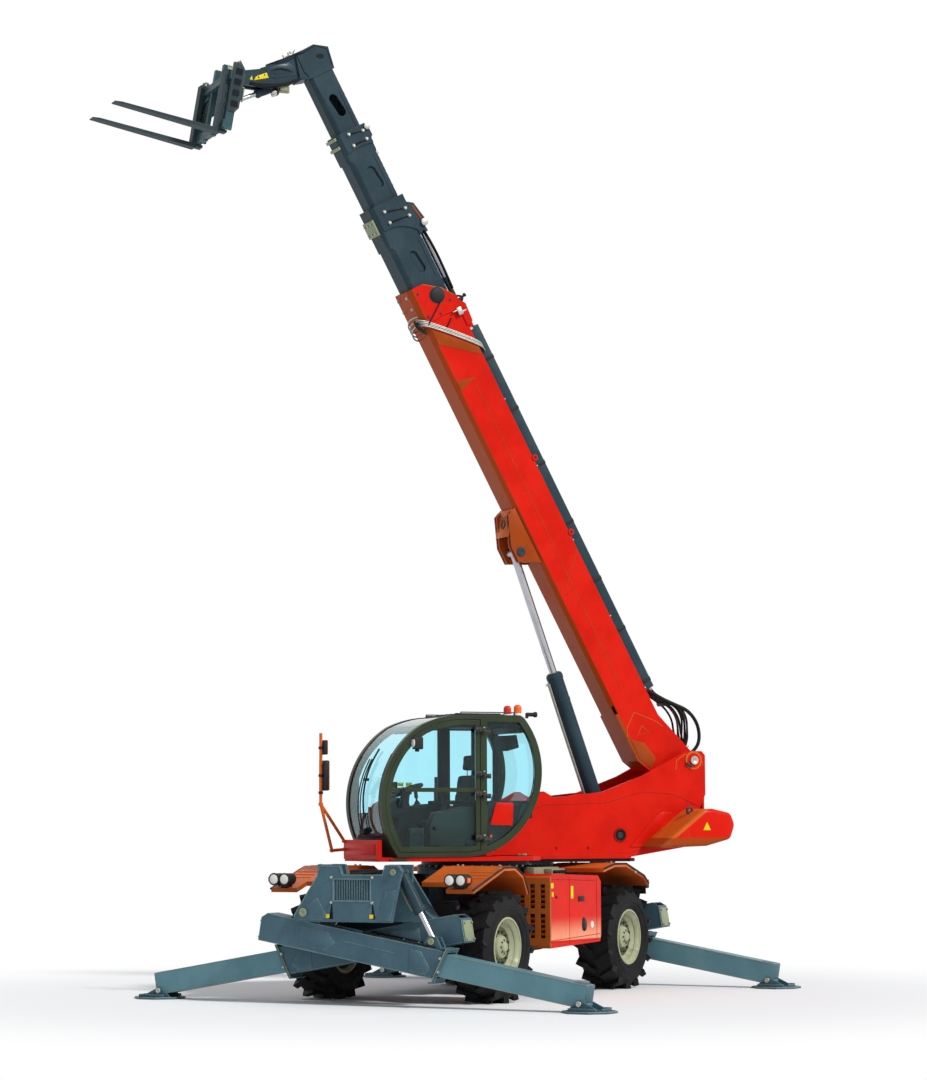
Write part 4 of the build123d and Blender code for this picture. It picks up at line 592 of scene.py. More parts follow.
def settle(piece, name, body, finish, place, smooth=40):
    """Puts a finished piece, or several as one, in its frame, paints it and hangs it on its body."""
    if isinstance(piece, list):
        piece = joined(piece)
    piece.name = piece.data.name = name
    bpy.ops.object.select_all(action="DESELECT")
    piece.select_set(True)
    bpy.context.view_layer.objects.active = piece
    bpy.ops.object.transform_apply(location=True, rotation=True, scale=True)
    piece.data.transform(place)
    bpy.ops.object.shade_smooth_by_angle(angle=math.radians(smooth))
    piece.data.materials.clear()
    piece.data.materials.append(MATERIALS[finish])
    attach(piece, body)
    finish in SLOTS
    return piece


def fitter(body, place):
    """The call that settles pieces on one body, in one frame."""
    def fit(name, finish, piece, smooth=40):
        return settle(piece, name, body, finish, place, smooth)
    return fit


on_boom_base = fitter("boom_base", BOOM)
on_boom_section_1 = fitter("boom_section_1", BOOM)
on_boom_section_2 = fitter("boom_section_2", BOOM)
on_boom_section_3 = fitter("boom_section_3", BOOM)
on_tip = fitter("boom_section_3", TURRET)
on_carriage = fitter("carriage", FORK)
on_lift_barrel = fitter("lift_barrel", LIFT)
on_tilt_barrel = fitter("tilt_barrel", TILT)
on_turret = fitter("turret", TURRET)
on_door = fitter("door", TURRET)
on_chassis = fitter("chassis", CHASSIS)


def bolt(across, height):
    """A hexagon head on a washer, standing on z = 0."""
    head = start(bpy.ops.mesh.primitive_cylinder_add, vertices=6, radius=across * 0.577,
                 depth=height, location=(0, 0, height / 2 + across * 0.08))
    bpy.ops.object.transform_apply(location=True)
    pick(head, "FACE", lambda face: face.normal.z > 0.9)
    bpy.ops.mesh.inset(thickness=across * 0.07)
    bpy.ops.transform.translate(value=(0, 0, height * 0.12))
    close()
    washer = start(bpy.ops.mesh.primitive_cylinder_add, vertices=16, depth=across * 0.12,
                   radius=across * 0.5 * bpy.context.scene.telehandler_fittings.washer,
                   location=(0, 0, across * 0.06))
    bpy.ops.object.transform_apply(location=True)
    rounded(washer, across * 0.03, 1)
    return joined([head, washer])


def boss(radius, height, edge):
    """A round pin end with an eased rim and a shallow centre, standing on z = 0."""
    return turned(((0, height - edge * 1.2), (radius * 0.35, height - edge * 1.2), (radius * 0.42, height),
                   (radius - edge, height), (radius, height - edge), (radius, 0), (0, 0)), 28)


def ring(radius, hole, height, edge):
    """A collar with eased corners, standing on z = 0."""
    return turned(((hole, 0), (radius - edge, 0), (radius, edge), (radius, height - edge),
                   (radius - edge, height), (hole, height)), 28, ring=True)


def dome(radius, height, rim=0.35):
    """A pressed cap on a straight rim that is a share of its height, standing on z = 0."""
    arc = [(radius * math.sin(angle), height * rim + height * (1 - rim) * math.cos(angle))
           for angle in (0, 0.26, 0.52, 0.79, 1.05, 1.31, 1.57)]
    return turned(arc + [(radius, 0), (0, 0)], 28)


def nozzle(wide, shoulder, narrow, step, height, sides):
    """A fitting that steps in from a wide foot to a narrow neck, standing on z = 0."""
    return turned(((0, 0), (wide, 0), (wide, shoulder), (narrow, step), (narrow, height), (0, height)), sides)


def both(x, y, z):
    """A place on the left flank and the same on the right one, facing outwards."""
    return at(x, y, z, LEFTWARD), at(x, -y, z, RIGHTWARD)


def twin_slabs(low, high, *shape):
    """A block on the left and the same on the right."""
    return [slab(low, high, *shape), slab((low[0], -high[1], low[2]), (high[0], -low[1], high[2]), *shape)]


def round_about(radius, count, height, offset=0):
    """Places on a circle about z."""
    return [at(radius * math.cos(angle), radius * math.sin(angle), height)
            for angle in (math.tau * (index + offset) / count for index in range(count))]


def bead(points, radius=None):
    """A weld bead or seam along a line of points."""
    return pipe(points, radius or bpy.context.scene.telehandler_fittings.weld, smooth=False, sides=1)


def spread(pieces, ending, body, place):
    """Settles a copy of each (name, piece, finish), with an ending added to its name."""
    for name, piece, finish in pieces:
        settle(again(piece), name + ending, body, finish, place)


# ---- boom, in its own frame: along it, to the left and up -------------------------------------
BASE_FLANK = 0.195
BASE_COLLAR_FLANK = 0.211
# lines of (along, up) on both flanks of the base section
SIDE_SEAMS = (
    ((1.095, -0.364), (2.86, -0.34), (5, -0.325)),
    ((2.6, -0.555), (2.37, -0.443), (2.496, -0.401), (2.77, -0.11)),
)
ROOT_WELDS = (
    ((0.6, -0.56), (0.7, -0.52), (0.815, -0.35), (0.601, -0.156), (0.5, -0.1)),
    ((0.634, -0.337), (0.52, -0.286), (0.561, -0.434), (0.634, -0.337)),
)
# along the boom
DUCT_START, DUCT_END = 0.95, 5.6
DUCT_FEET = (0.99, 1.92, 2.9, 3.85, 4.7, 5.45)
DUCT_CLAMPS = (1.05, 1.72, 2.36, 3.1, 3.85, 4.55, 5.2)
BRACKET_COVER = ((2.86, -0.57), (3.56, -0.57), (3.52, -0.68), (3.19, -0.82), (2.99, -0.82), (2.93, -0.7))


def lines_on(lines, flank, radius):
    """Beads that follow lines of (along, up) on both flanks of a boom section."""
    return joined([bead([(along, hand * flank, up) for along, up in line], radius)
                   for line in lines for hand in (1, -1)])


def plates_on(outlines, flank, thickness, edge=0.001):
    """Plates that stand on both flanks of a boom section."""
    made = []
    for outline in outlines:
        made.append(prism(outline, flank - 0.002, flank + thickness, edge=edge))
        made.append(prism(outline, -flank - thickness, 0.002 - flank, edge=edge))
    return joined(made)


def studs(places, across, height, flank):
    """Bolt heads at (along, up) on both flanks."""
    return copies(bolt(across, height), [at(along, flank, up, LEFTWARD) for along, up in places]
                  + [at(along, -flank, up, RIGHTWARD) for along, up in places])


class TELEHANDLER_OT_boom_base(bpy.types.Operator):
    """Weld seams, stiffeners, bands of painted shade near the head, the lift bracket's plates of painted shade and
    strip of painted highlight, and end fittings of the boom's base section
    """

    bl_idname = "telehandler.boom_base"
    bl_label = "Boom base"

    def execute(self, context):
        on_boom_base("base_seams", "brown", lines_on(SIDE_SEAMS, BASE_FLANK, 0.0035))
        on_boom_base("root_welds", "orange", lines_on(ROOT_WELDS, BASE_FLANK, 0.0055))
        # brown band and triangle on both flanks near the head: painted shade where the collar plates slope away
        band = ((5.8, -0.53), (5.38, -0.09), (5.27, -0.09), (5.6, -0.53))
        cuff = ((5.02, -0.53), (5.08, -0.3), (5.14, -0.53))
        on_boom_base("end_stiffeners", "brown", plates_on((band, cuff), BASE_FLANK, 0.005))
        heel = ((0.15, -0.47), (0.3, -0.54), (0.56, -0.54), (0.44, -0.4), (0.22, -0.36))
        on_boom_base("root_stiffeners", "brown", plates_on((heel,), BASE_FLANK, 0.005))

        # brown plates over the lift bracket's flanks are painted shade; the orange strip across its front is a painted
        # highlight
        shade_covers = [prism(BRACKET_COVER, low, low + 0.012, edge=0.002) for low in (0.183, -0.195)]
        shade_covers += [prism(((2.9, -0.6), (3, -0.6), (3.02, -0.78), (2.96, -0.74)), low, low + 0.065)
                   for low in (0.118, -0.183)]
        on_boom_base("bracket_covers", "brown", shade_covers)
        across = prism(((3.3, -0.79), (3.315, -0.765), (3.56, -0.585), (3.548, -0.612)), -0.175, 0.175)
        on_boom_base("bracket_face", "orange", across)
        on_boom_base("bracket_pin_caps", "dark", copies(boss(0.052, 0.016, 0.004), both(3.081, 0.195, -0.742)))
        port = moved(ring(0.055, 0.032, 0.018, 0.004), at(3.42, 0, -0.695, (0, 142, 0)))
        on_boom_base("bracket_port", "dark", port)

        lugs = copies(ring(0.036, 0.017, 0.022, 0.004),
                      [place for along in (3, 3.95) for place in both(along, 0.187, -0.066)])
        on_boom_base("lifting_lugs", "red", lugs)

        wells = both(6.104, BASE_COLLAR_FLANK, -0.285)
        on_boom_base("pad_caps", "black", copies(dome(0.087, 0.03), wells))
        on_boom_base("pad_cap_rims", "dark", copies(ring(0.096, 0.086, 0.008, 0.002), wells))
        heads = studs(((5.93, -0.5), (6.21, -0.49), (5.99, -0.16), (5.9, -0.34)), 0.022, 0.013, BASE_COLLAR_FLANK)
        on_boom_base("collar_bolts", "dark", heads)
        below = copies(bolt(0.03, 0.018), [at(along, y, -0.591, DOWNWARD)
                                            for along in (6.08, 6.22) for y in (-0.12, 0.12)])
        on_boom_base("underside_bolts", "zinc", below)
        mouth = ((6.286, -0.391), (6.155, -0.196), (6.022, -0.09))
        on_boom_base("mouth_edges", "orange", lines_on((mouth,), 0.209, 0.006))
        return {"FINISHED"}


class TELEHANDLER_OT_boom_duct(bpy.types.Operator):
    """Duct along the boom's back with its clamps, and the pipes that leave it at both ends"""

    bl_idname = "telehandler.boom_duct"
    bl_label = "Boom duct and pipes"

    def execute(self, context):
        outline = ((-0.1, -0.083), (0.135, -0.083), (0.135, 0.05), (0.119, 0.066), (-0.084, 0.066),
                   (-0.1, 0.05))
        on_boom_base("duct", "dark", prism(outline, DUCT_START, DUCT_END, "x", 0.006))
        clamp = prism(((-0.104, -0.085), (0.139, -0.085), (0.139, 0.052), (0.121, 0.07), (-0.086, 0.07),
                       (-0.104, 0.052)), -0.022, 0.022, "x", 0.002)
        on_boom_base("duct_clamps", "black", copies(clamp, [at(along, 0, 0) for along in DUCT_CLAMPS]))
        foot = slab((-0.03, 0.13, -0.086), (0.03, 0.18, -0.074), 0.002)
        on_boom_base("duct_feet", "dark", copies(foot, [at(along, 0, 0) for along in DUCT_FEET]))
        bolts = copies(bolt(0.02, 0.012), [at(along, 0.16, -0.074) for along in DUCT_FEET])
        on_boom_base("duct_bolts", "zinc", bolts)

        pale, dark = [], []
        for index, offset in enumerate((0, 0.022, 0.044, 0.066)):
            out = 0.205 + 0.007 * (index % 2)
            pale.append(pipe(((5.96 - offset, 0.1, -0.6), (5.955 - offset, 0.17, -0.632), (5.93 - offset, 0.222, -0.6),
                              (5.86 - offset, out, -0.5), (5.6 - offset, out, -0.225), (5.44 - offset, out, -0.07),
                              (5.38 - offset, 0.185, -0.028), (5.33 - offset, 0.11, -0.01)), 0.008))
        for offset in (0, 0.05, 0.1):
            pale.append(pipe(((5.98 - offset, 0.16, -0.6), (6 - offset, 0.12, -0.68), (5.93 - offset, 0.05, -0.71),
                              (5.84 - offset, -0.05, -0.66), (5.82 - offset, -0.1, -0.59)), 0.009))
        on_boom_base("end_pipes", "zinc", pale)
        for offset in (0, 0.035):
            dark.append(pipe(((5.9 - offset, 0.09, -0.59), (5.97 - offset, 0.13, -0.655), (5.88 - offset, 0.19, -0.67),
                              (5.8 - offset, 0.19, -0.6)), 0.013))
        dark.append(pipe(((6.02, 0.225, -0.29), (5.95, 0.228, -0.4), (5.854, 0.226, -0.54)), 0.007))
        dark.append(pipe(((5.8, 0.205, -0.25), (5.76, 0.225, -0.3), (5.722, 0.202, -0.36)), 0.007))
        dark.append(pipe(((5.9, 0.15, -0.03), (5.93, 0.158, 0.015), (5.975, 0.155, 0.015), (6, 0.15, -0.05)), 0.012))
        on_boom_base("end_hoses", "hose", dark)
        valve = [slab((5.785, 0.214, -0.155), (5.875, 0.246, -0.095), 0.004),
                 moved(nozzle(0.013, 0.03, 0.008, 0.034, 0.05, 12),
                       at(5.81, 0.23, -0.095)),
                 moved(nozzle(0.011, 0.028, 0.007, 0.032, 0.05, 12),
                       at(5.85, 0.23, -0.155, DOWNWARD)),
                 moved(turned(((0, 0), (0.02, 0), (0.02, 0.03), (0.013, 0.036), (0, 0.036)), 6),
                       at(5.59, 0.18, -0.085))]
        on_boom_base("end_valves", "zinc", valve)
        rod = moved(nozzle(0.014, 0.1, 0.022, 0.105, 0.125, 14),
                    at(5.93, 0.165, -0.06, (0, 18, 0)))
        on_boom_base("end_stop", "black", rod)
        return {"FINISHED"}


class TELEHANDLER_OT_root_hoses(bpy.types.Operator):
    """Hoses that arch from the end of the duct over the boom's root"""

    bl_idname = "telehandler.root_hoses"
    bl_label = "Root hoses"

    def execute(self, context):
        hoses, brown, ends = [], [], []
        for index, lift in enumerate((0.2, 0.255, 0.225, 0.275, 0.21, 0.265, 0.235, 0.25)):
            y = -0.085 + 0.029 * index
            spread = y * 1.35
            route = ((0.98, y, 0), (0.88, y, 0.022), (0.74, y, 0.1), (0.6, spread, lift * 0.92),
                     (0.44, spread, lift), (0.3, spread, lift * 0.72), (0.2, spread, 0.13), (0.15, spread, 0.066))
            (brown if index in (2, 5) else hoses).append(pipe(route, context.scene.telehandler_fittings.hose))
            ends.append(moved(nozzle(0.016, 0.03, 0.013, 0.036, 0.058, 10),
                              at(0.147, spread, 0.052, (0, -8, 0))))
            ends.append(moved(nozzle(0.015, 0.028, 0.013, 0.03, 0.05, 10),
                              at(0.955, y, 0.003, BACKWARD)))
        hoses.append(pipe(((0.92, 0.125, -0.02), (0.8, 0.15, 0.05), (0.66, 0.165, 0.16), (0.5, 0.175, 0.3),
                           (0.3, 0.175, 0.335), (0.12, 0.16, 0.27), (0.05, 0.15, 0.16), (0.045, 0.14, 0.09)), 0.021))
        on_boom_base("root_hoses", "hose", hoses)
        on_boom_base("root_hoses_brown", "brown_hose", brown)
        on_boom_base("root_hose_ends", "zinc", ends)
        block = prism(((0.1, 0.06), (0.2, 0.03), (0.21, 0.055), (0.11, 0.088)), -0.15, 0.18, edge=0.004)
        on_boom_base("root_manifold", "black", block)
        on_boom_base("root_hose_strap", "black", slab((0.66, -0.125, 0.108), (0.7, 0.155, 0.128), 0.004))
        return {"FINISHED"}


# each collar: body, half width, bolts and the two slots that join them, as (along, up)
COLLARS = (
    ("boom_section_1", 0.181, ((7.202, -0.409), (7.068, -0.408), (7.141, -0.153), (7.046, -0.147))),
    ("boom_section_2", 0.155, ((8.154, -0.373), (8.018, -0.378), (8.128, -0.193), (8.026, -0.195))),
)


class TELEHANDLER_OT_section_collars(bpy.types.Operator):
    """Bolts, adjusting slots shown by painted shade, wear pads and rollers at the collars of the sliding sections"""

    bl_idname = "telehandler.section_collars"
    bl_label = "Section collars"

    def execute(self, context):
        for body, flank, places in COLLARS:
            strips = [((low[0] - 0.012, low[1] - 0.02), (low[0] + 0.012, low[1] - 0.02),
                       (high[0] + 0.012, high[1] + 0.02), (high[0] - 0.012, high[1] + 0.02))
                      for low, high in (places[0::2], places[1::2])]
            # dark strips between the bolts: painted shade in the adjusting slots
            settle(plates_on(strips, flank, 0.003), body + "_slots", body, "dark_gap", BOOM)
            settle(studs(places, 0.03, 0.018, flank + 0.003), body + "_bolts", body, "zinc", BOOM)

        roller = turned(((0, 0), (0.026, 0), (0.028, 0.004), (0.028, 0.01), (0.041, 0.012), (0.041, 0.03),
                         (0.028, 0.034), (0, 0.034)), 26)
        on_boom_section_1("chain_rollers", "zinc", copies(roller, both(6.905, 0.181, -0.018)))
        roller = turned(((0, 0), (0.022, 0), (0.024, 0.004), (0.034, 0.006), (0.034, 0.022), (0.02, 0.026),
                         (0, 0.026)), 26)
        on_boom_section_2("tip_rollers", "zinc", copies(roller, both(8.15, 0.155, -0.128)))
        ears = plates_on((((6.93, -0.03), (7.13, -0.07), (7.14, -0.055), (6.94, -0.012)),), 0.181, 0.006)
        on_boom_section_1("ear_edges", "brown", ears)

        on_boom_section_1("pad_housing", "cream", slab((6.99, -0.135, -0.578), (7.18, 0.135, -0.554), 0.004))
        below = copies(bolt(0.028, 0.016), [at(along, y, -0.576, DOWNWARD)
                                            for along in (7.03, 7.14) for y in (-0.09, 0, 0.09)])
        on_boom_section_1("pad_bolts", "zinc", below)
        bars = [slab((along - 0.018, -0.125, -0.545), (along + 0.018, 0.125, -0.524), 0.003) for along in (8.06, 8.165)]
        on_boom_section_2("tip_pad_bars", "cream", bars)

        sleeve = moved(turned(((0.0322, 0), (0.0345, 0), (0.0345, 0.6), (0.0322, 0.6)), 24, ring=True),
                       at(6.24, 0, 0.004, FORWARD))
        on_boom_section_1("extension_rod_skin", "chrome", sleeve)
        eye = [moved(ring(0.062, 0.034, 0.05, 0.006), at(6.845, 0, 0.004, BACKWARD)),
               slab((6.8, -0.062, -0.1), (6.92, 0.062, -0.055), 0.006)]
        on_boom_section_1("extension_eye", "dark", eye)
        looms = [pipe(((6.09, y, -0.012), (6.32, y, 0), (6.62, y, 0.004), (6.84, y, -0.02)), 0.011)
                 for y in (-0.075, -0.098, 0.075, 0.098)]
        on_boom_section_1("back_hoses", "hose", looms)
        return {"FINISHED"}


def chain(start, stop, y, up, tall, pitch=0.034):
    """Leaf chain along the back of a section: pairs of waisted link plates on round pins."""
    length = pitch * 1.45
    outline = [(length / 2 * math.cos(a) * (1 if abs(math.cos(a)) > 0.3 else 0.8),
                tall * math.sin(a) * (0.62 if abs(math.cos(a)) < 0.3 else 1))
               for a in (k * math.tau / 12 for k in range(12))]
    link = [prism(outline, low, low + 0.003, edge=0) for low in (-0.012, -0.005, 0.002, 0.009)]
    return copies(joined(link), [at(start + pitch * k, y + (0.0015 if k % 2 else -0.0015), up)
                                 for k in range(int((stop - start) / pitch))])


class TELEHANDLER_OT_boom_chains(bpy.types.Operator):
    """Leaf chains of the extension, their anchors and the seams along the sliding sections"""

    bl_idname = "telehandler.boom_chains"
    bl_label = "Boom chains"

    def execute(self, context):
        on_boom_section_2("extension_chains", "iron", [chain(7.33, 7.85, y, -0.1383, 0.009) for y in (-0.104, 0.104)])
        anchors = [slab((7.82, y - 0.022, -0.148), (7.88, y + 0.022, -0.116), 0.003) for y in (-0.104, 0.104)]
        on_boom_section_2("chain_anchors", "zinc", anchors)
        on_boom_section_3("tip_chains", "iron", [chain(8.22, 8.66, y, -0.1672, 0.008) for y in (-0.074, 0.074)])
        for body, flank, span, ups in (("boom_section_1", 0.165, (6.3, 6.78), (-0.168, -0.49)),
                                       ("boom_section_2", 0.139, (7.31, 7.84), (-0.198, -0.46)),
                                       ("boom_section_3", 0.115, (8.21, 8.66), (-0.226, -0.432))):
            beads = lines_on([((span[0], up), (span[1], up)) for up in ups], flank, 0.0025)
            settle(beads, body + "_seams", body, "dark_gap", BOOM)
        looms = [pipe(((8, y, -0.17), (8.3, y, -0.163), (8.6, y, -0.16), (8.86, y, -0.168)), 0.01)
                 for y in (-0.015, 0.01)]
        on_boom_section_3("tip_hoses", "hose", looms)
        return {"FINISHED"}


# ---- head of the boom, in the turret's frame --------------------------------------------------
# flanks of the arm at the boom's tip and of its elbow, to the left of the slew axis
ARM_LEFT, ARM_RIGHT = -0.105, -0.295
ELBOW_LEFT, ELBOW_RIGHT = -0.075, -0.325


def on_arm(outline, thickness, edge=0.001):
    """The same plate on both flanks of the arm."""
    return joined([prism(outline, ARM_LEFT - 0.002, ARM_LEFT + thickness, edge=edge),
                   prism(outline, ARM_RIGHT - thickness, ARM_RIGHT + 0.002, edge=edge)])


class TELEHANDLER_OT_boom_head(bpy.types.Operator):
    """Plates, fittings, hoses and lamp on the arm at the boom's tip"""

    bl_idname = "telehandler.boom_head"
    bl_label = "Boom head"

    def execute(self, context):
        panel = ((2.472, 10.238), (2.4, 10.283), (2.2, 10.345), (2.12, 10.29), (2.107, 10.214), (2.36, 10.15),
                 (2.45, 10.165))
        on_tip("arm_panels", "dark", on_arm(panel, 0.006))
        # a dark crescent: painted shadow of a recess in each arm panel
        crescent = ((2.417, 10.225), (2.36, 10.262), (2.29, 10.277), (2.21, 10.268), (2.156, 10.238), (2.22, 10.245),
                    (2.3, 10.25), (2.37, 10.24))
        on_tip("arm_recesses", "dark_gap", on_arm(crescent, 0.009, 0))
        # dark ovals on the elbow's flanks: painted shade in its holes
        moon = [(1.838 + 0.045 * math.sin(a), 10.452 + 0.028 * math.cos(a))
                for a in (k * math.tau / 16 for k in range(16))]
        moons = [prism(moon, low, low + 0.004, edge=0) for low in (ELBOW_LEFT - 0.001, ELBOW_RIGHT - 0.003)]
        on_tip("elbow_holes", "dark_gap", moons)
        ribs = [bead(((2.12, y, 10.43), (2.03, y, 10.25), (1.97, y, 10.2)), 0.006) for y in (ELBOW_LEFT, ELBOW_RIGHT)]
        ribs += [bead(((1.69, y, 10.36), (1.76, y, 10.545), (1.9, y, 10.565), (2.09, y, 10.44)), 0.005)
                 for y in (ELBOW_LEFT, ELBOW_RIGHT)]
        on_tip("elbow_welds", "dark_gap", ribs)
        crown = prism(((1.665, 10.345), (1.742, 10.574), (1.925, 10.5775), (2.06, 10.495), (2.05, 10.478),
                       (1.92, 10.56), (1.757, 10.556), (1.684, 10.34)), -0.29, -0.11, edge=0.002)
        on_tip("elbow_crown", "dark", crown)

        plate = ((2.615, 10.103), (2.588, 10.15), (2.462, 10.205), (2.44, 10.148))
        on_tip("blank_plates", "yellow", on_arm(plate, 0.003, 0.0005))
        sign = ((2.667, 10.108), (2.64, 10.152), (2.628, 10.104))
        on_tip("blank_signs", "yellow", on_arm(sign, 0.003, 0.0005))
        dots = copies(boss(0.009, 0.005, 0.001), [at(x, y, z, turn) for x, z in ((2.49, 10.175), (2.56, 10.142))
                                                  for y, turn in ((ARM_LEFT + 0.001, LEFTWARD),
                                                                  (ARM_RIGHT - 0.001, RIGHTWARD))])
        on_tip("plate_rivets", "black", dots)

        hoses = []
        for side, drop in ((ARM_LEFT + 0.016, 0), (ARM_LEFT + 0.02, 0.018), (ARM_RIGHT - 0.016, 0)):
            hoses.append(pipe(((2.02, side, 10.205 - drop), (2.12, side + 0.004, 10.15 - drop),
                               (2.28, side + 0.012, 10.085 - drop), (2.46, side + 0.014, 10.062 - drop),
                               (2.6, side + 0.008, 10.06 - drop), (2.66, side, 10.075 - drop)), 0.01))
        over = ((2.02, 0.02, 10.47), (2.1, 0.045, 10.46), (2.2, 0.045, 10.4), (2.34, 0.03, 10.345),
                (2.47, -0.02, 10.29))
        hoses += [pipe([(x, side + hand * out, z) for x, out, z in over], 0.009)
                  for side, hand in ((ARM_LEFT, 1), (ARM_RIGHT, -1))]
        on_tip("arm_hoses", "hose", hoses)
        fittings = []
        for x, z, y in ((2.145, 10.452, -0.16), (2.145, 10.452, -0.22), (2.22, 10.405, -0.18)):
            fittings.append(moved(nozzle(0.016, 0.022, 0.011, 0.026, 0.055, 12), at(x, y, z - 0.01, (0, 28, 0))))
        fittings.append(slab((2.1, -0.25, 10.43), (2.19, -0.13, 10.452), 0.004))
        on_tip("arm_fittings", "zinc", fittings)
        wires = [pipe(((2.132, y, 10.44), (2.128, y, 10.47), (2.115 + y * 0.1, y - 0.02, 10.525)), 0.0032)
                 for y in (-0.17, -0.23)]
        on_tip("arm_feelers", "black", wires)

        shade = moved(turned(((0, 0), (0.032, 0), (0.044, 0.018), (0.047, 0.05), (0.043, 0.05), (0.04, 0.02),
                              (0, 0.012)), 20), at(2.35, -0.085, 9.973, (0, 70, 35)))
        lamp_arm = pipe(((2.31, -0.12, 10.06), (2.31, -0.09, 10.01), (2.345, -0.088, 9.975)), 0.009)
        on_tip("tip_lamp", "black", [shade, lamp_arm])
        on_tip("tip_lamp_lens", "white", moved(dome(0.041, 0.012), at(2.39, -0.063, 9.96, (0, 70, 35))))
        box = [slab((2.19, -0.15, 10), (2.33, -0.106, 10.075), 0.005),
               slab((2.215, -0.106, 10.015), (2.3, -0.098, 10.06), 0.003)]
        on_tip("arm_valve_box", "cream", box)
        on_tip("arm_valve_knob", "red", moved(boss(0.02, 0.02, 0.004), at(2.33, -0.128, 10.037, FORWARD)))
        return {"FINISHED"}


# ---- carriage and forks, in the forks' frame: forward, to the left and up from the heel --------
EAR_LEFT = 0.131
FORK_PLACES = (-0.4, 0.4)


class TELEHANDLER_OT_carriage(bpy.types.Operator):
    """Ribs, guards, bolts and pins of the fork carriage"""

    bl_idname = "telehandler.carriage"
    bl_label = "Carriage"

    def execute(self, context):
        ribs = twin_slabs((-0.105, 0.29, 0.06), (-0.055, 0.33, 0.7), 0.005)
        ribs += twin_slabs((-0.095, 0.135, 0.345), (-0.062, 0.49, 0.405), 0.004)
        teal = twin_slabs((-0.078, 0.345, 0.43), (-0.066, 0.485, 0.585), 0.002)
        teal += twin_slabs((-0.078, 0.175, 0.16), (-0.066, 0.285, 0.325), 0.002)
        outline = ((-0.15, 0.3), (-0.11, 0.24), (-0.02, 0.24), (-0.02, 0.78), (-0.08, 0.83), (-0.15, 0.74))
        ribs += [prism(outline, low, low + 0.01, edge=0.002) for low in (0.53, -0.54)]
        # dark plates on the end plates: painted shade in their slots
        slot = ((-0.125, -0.028), (-0.115, -0.036), (-0.055, -0.036), (-0.045, -0.028),
                (-0.045, 0.028), (-0.055, 0.036), (-0.115, 0.036), (-0.125, 0.028))
        slots = [prism([(x, z + rise) for x, rise in slot], low, low + 0.003, edge=0)
                 for z in (0.33, 0.455, 0.58, 0.7) for low in (0.539, -0.542)]
        on_carriage("carriage_ribs", "slate", ribs)
        on_carriage("carriage_panels", "teal", teal)
        on_carriage("carriage_slots", "dark_gap", slots)

        on_carriage("carriage_valve", "dark", slab((-0.285, 0.131, 0.5), (-0.15, 0.175, 0.655), 0.004))
        trim = [slab((-0.292, 0.16, low), (-0.143, 0.18, low + 0.012), 0.002) for low in (0.492, 0.65)]
        trim += [slab((low, 0.16, 0.492), (low + 0.012, 0.18, 0.662), 0.002) for low in (-0.292, -0.155)]
        trim += [moved(nozzle(0.013, 0.02, 0.009, 0.024, 0.04, 12),
                       at(-0.215 + 0.03 * k, 0.15, 0.655)) for k in (-1, 0, 1)]
        on_carriage("carriage_valve_trim", "cream", trim)
        fixed = [pipe(((-0.245 + 0.03 * k, 0.15, 0.69), (-0.25 + 0.03 * k, 0.155, 0.75), (-0.19, 0.22 + 0.03 * k, 0.74),
                       (-0.13, 0.27 + 0.02 * k, 0.64), (-0.1, 0.27 + 0.02 * k, 0.52), (-0.085, 0.25 + 0.02 * k, 0.42)),
                      0.009) for k in (0, 1, 2)]
        on_carriage("carriage_hoses", "hose", fixed)
        on_carriage("carriage_stops", "rim", twin_slabs((-0.125, 0.14, 0.79), (-0.055, 0.2, 0.855), 0.006))

        on_carriage("carriage_pin_caps", "slate", copies(boss(0.04, 0.014, 0.004), both(-0.221, EAR_LEFT, 0.782)))
        on_carriage("tilt_pin_caps", "zinc", copies(boss(0.032, 0.012, 0.003), both(-0.208, EAR_LEFT, 0.496)))
        bolts = copies(bolt(0.024, 0.014), [at(-0.062, hand * y, z, BACKWARD) for hand in (1, -1)
                                            for y in (0.2, 0.26, 0.37, 0.46) for z in (0.095, 0.655)])
        on_carriage("carriage_bolts", "zinc", bolts)
        hooks = [slab((-0.052, y - 0.06, 0.7), (0.05, y + 0.06, 0.724), 0.005) for y in FORK_PLACES]
        hooks += [slab((-0.088, y - 0.06, 0.645), (-0.06, y + 0.06, 0.724), 0.005) for y in FORK_PLACES]
        hooks += [slab((-0.088, y - 0.05, 0.02), (0, y + 0.05, 0.05), 0.005) for y in FORK_PLACES]
        on_carriage("fork_hooks", "slate", hooks)
        pins = [moved(nozzle(0.01, 0.045, 0.017, 0.05, 0.062, 14),
                      at(-0.02, y, 0.72)) for y in FORK_PLACES]
        on_carriage("fork_locks", "zinc", pins)
        rules = [slab((-0.004, -0.49, z - 0.006), (0.003, 0.49, z + 0.006), 0.001, 1) for z in (0.622, 0.688)]
        on_carriage("rail_edges", "teal", rules)
        return {"FINISHED"}


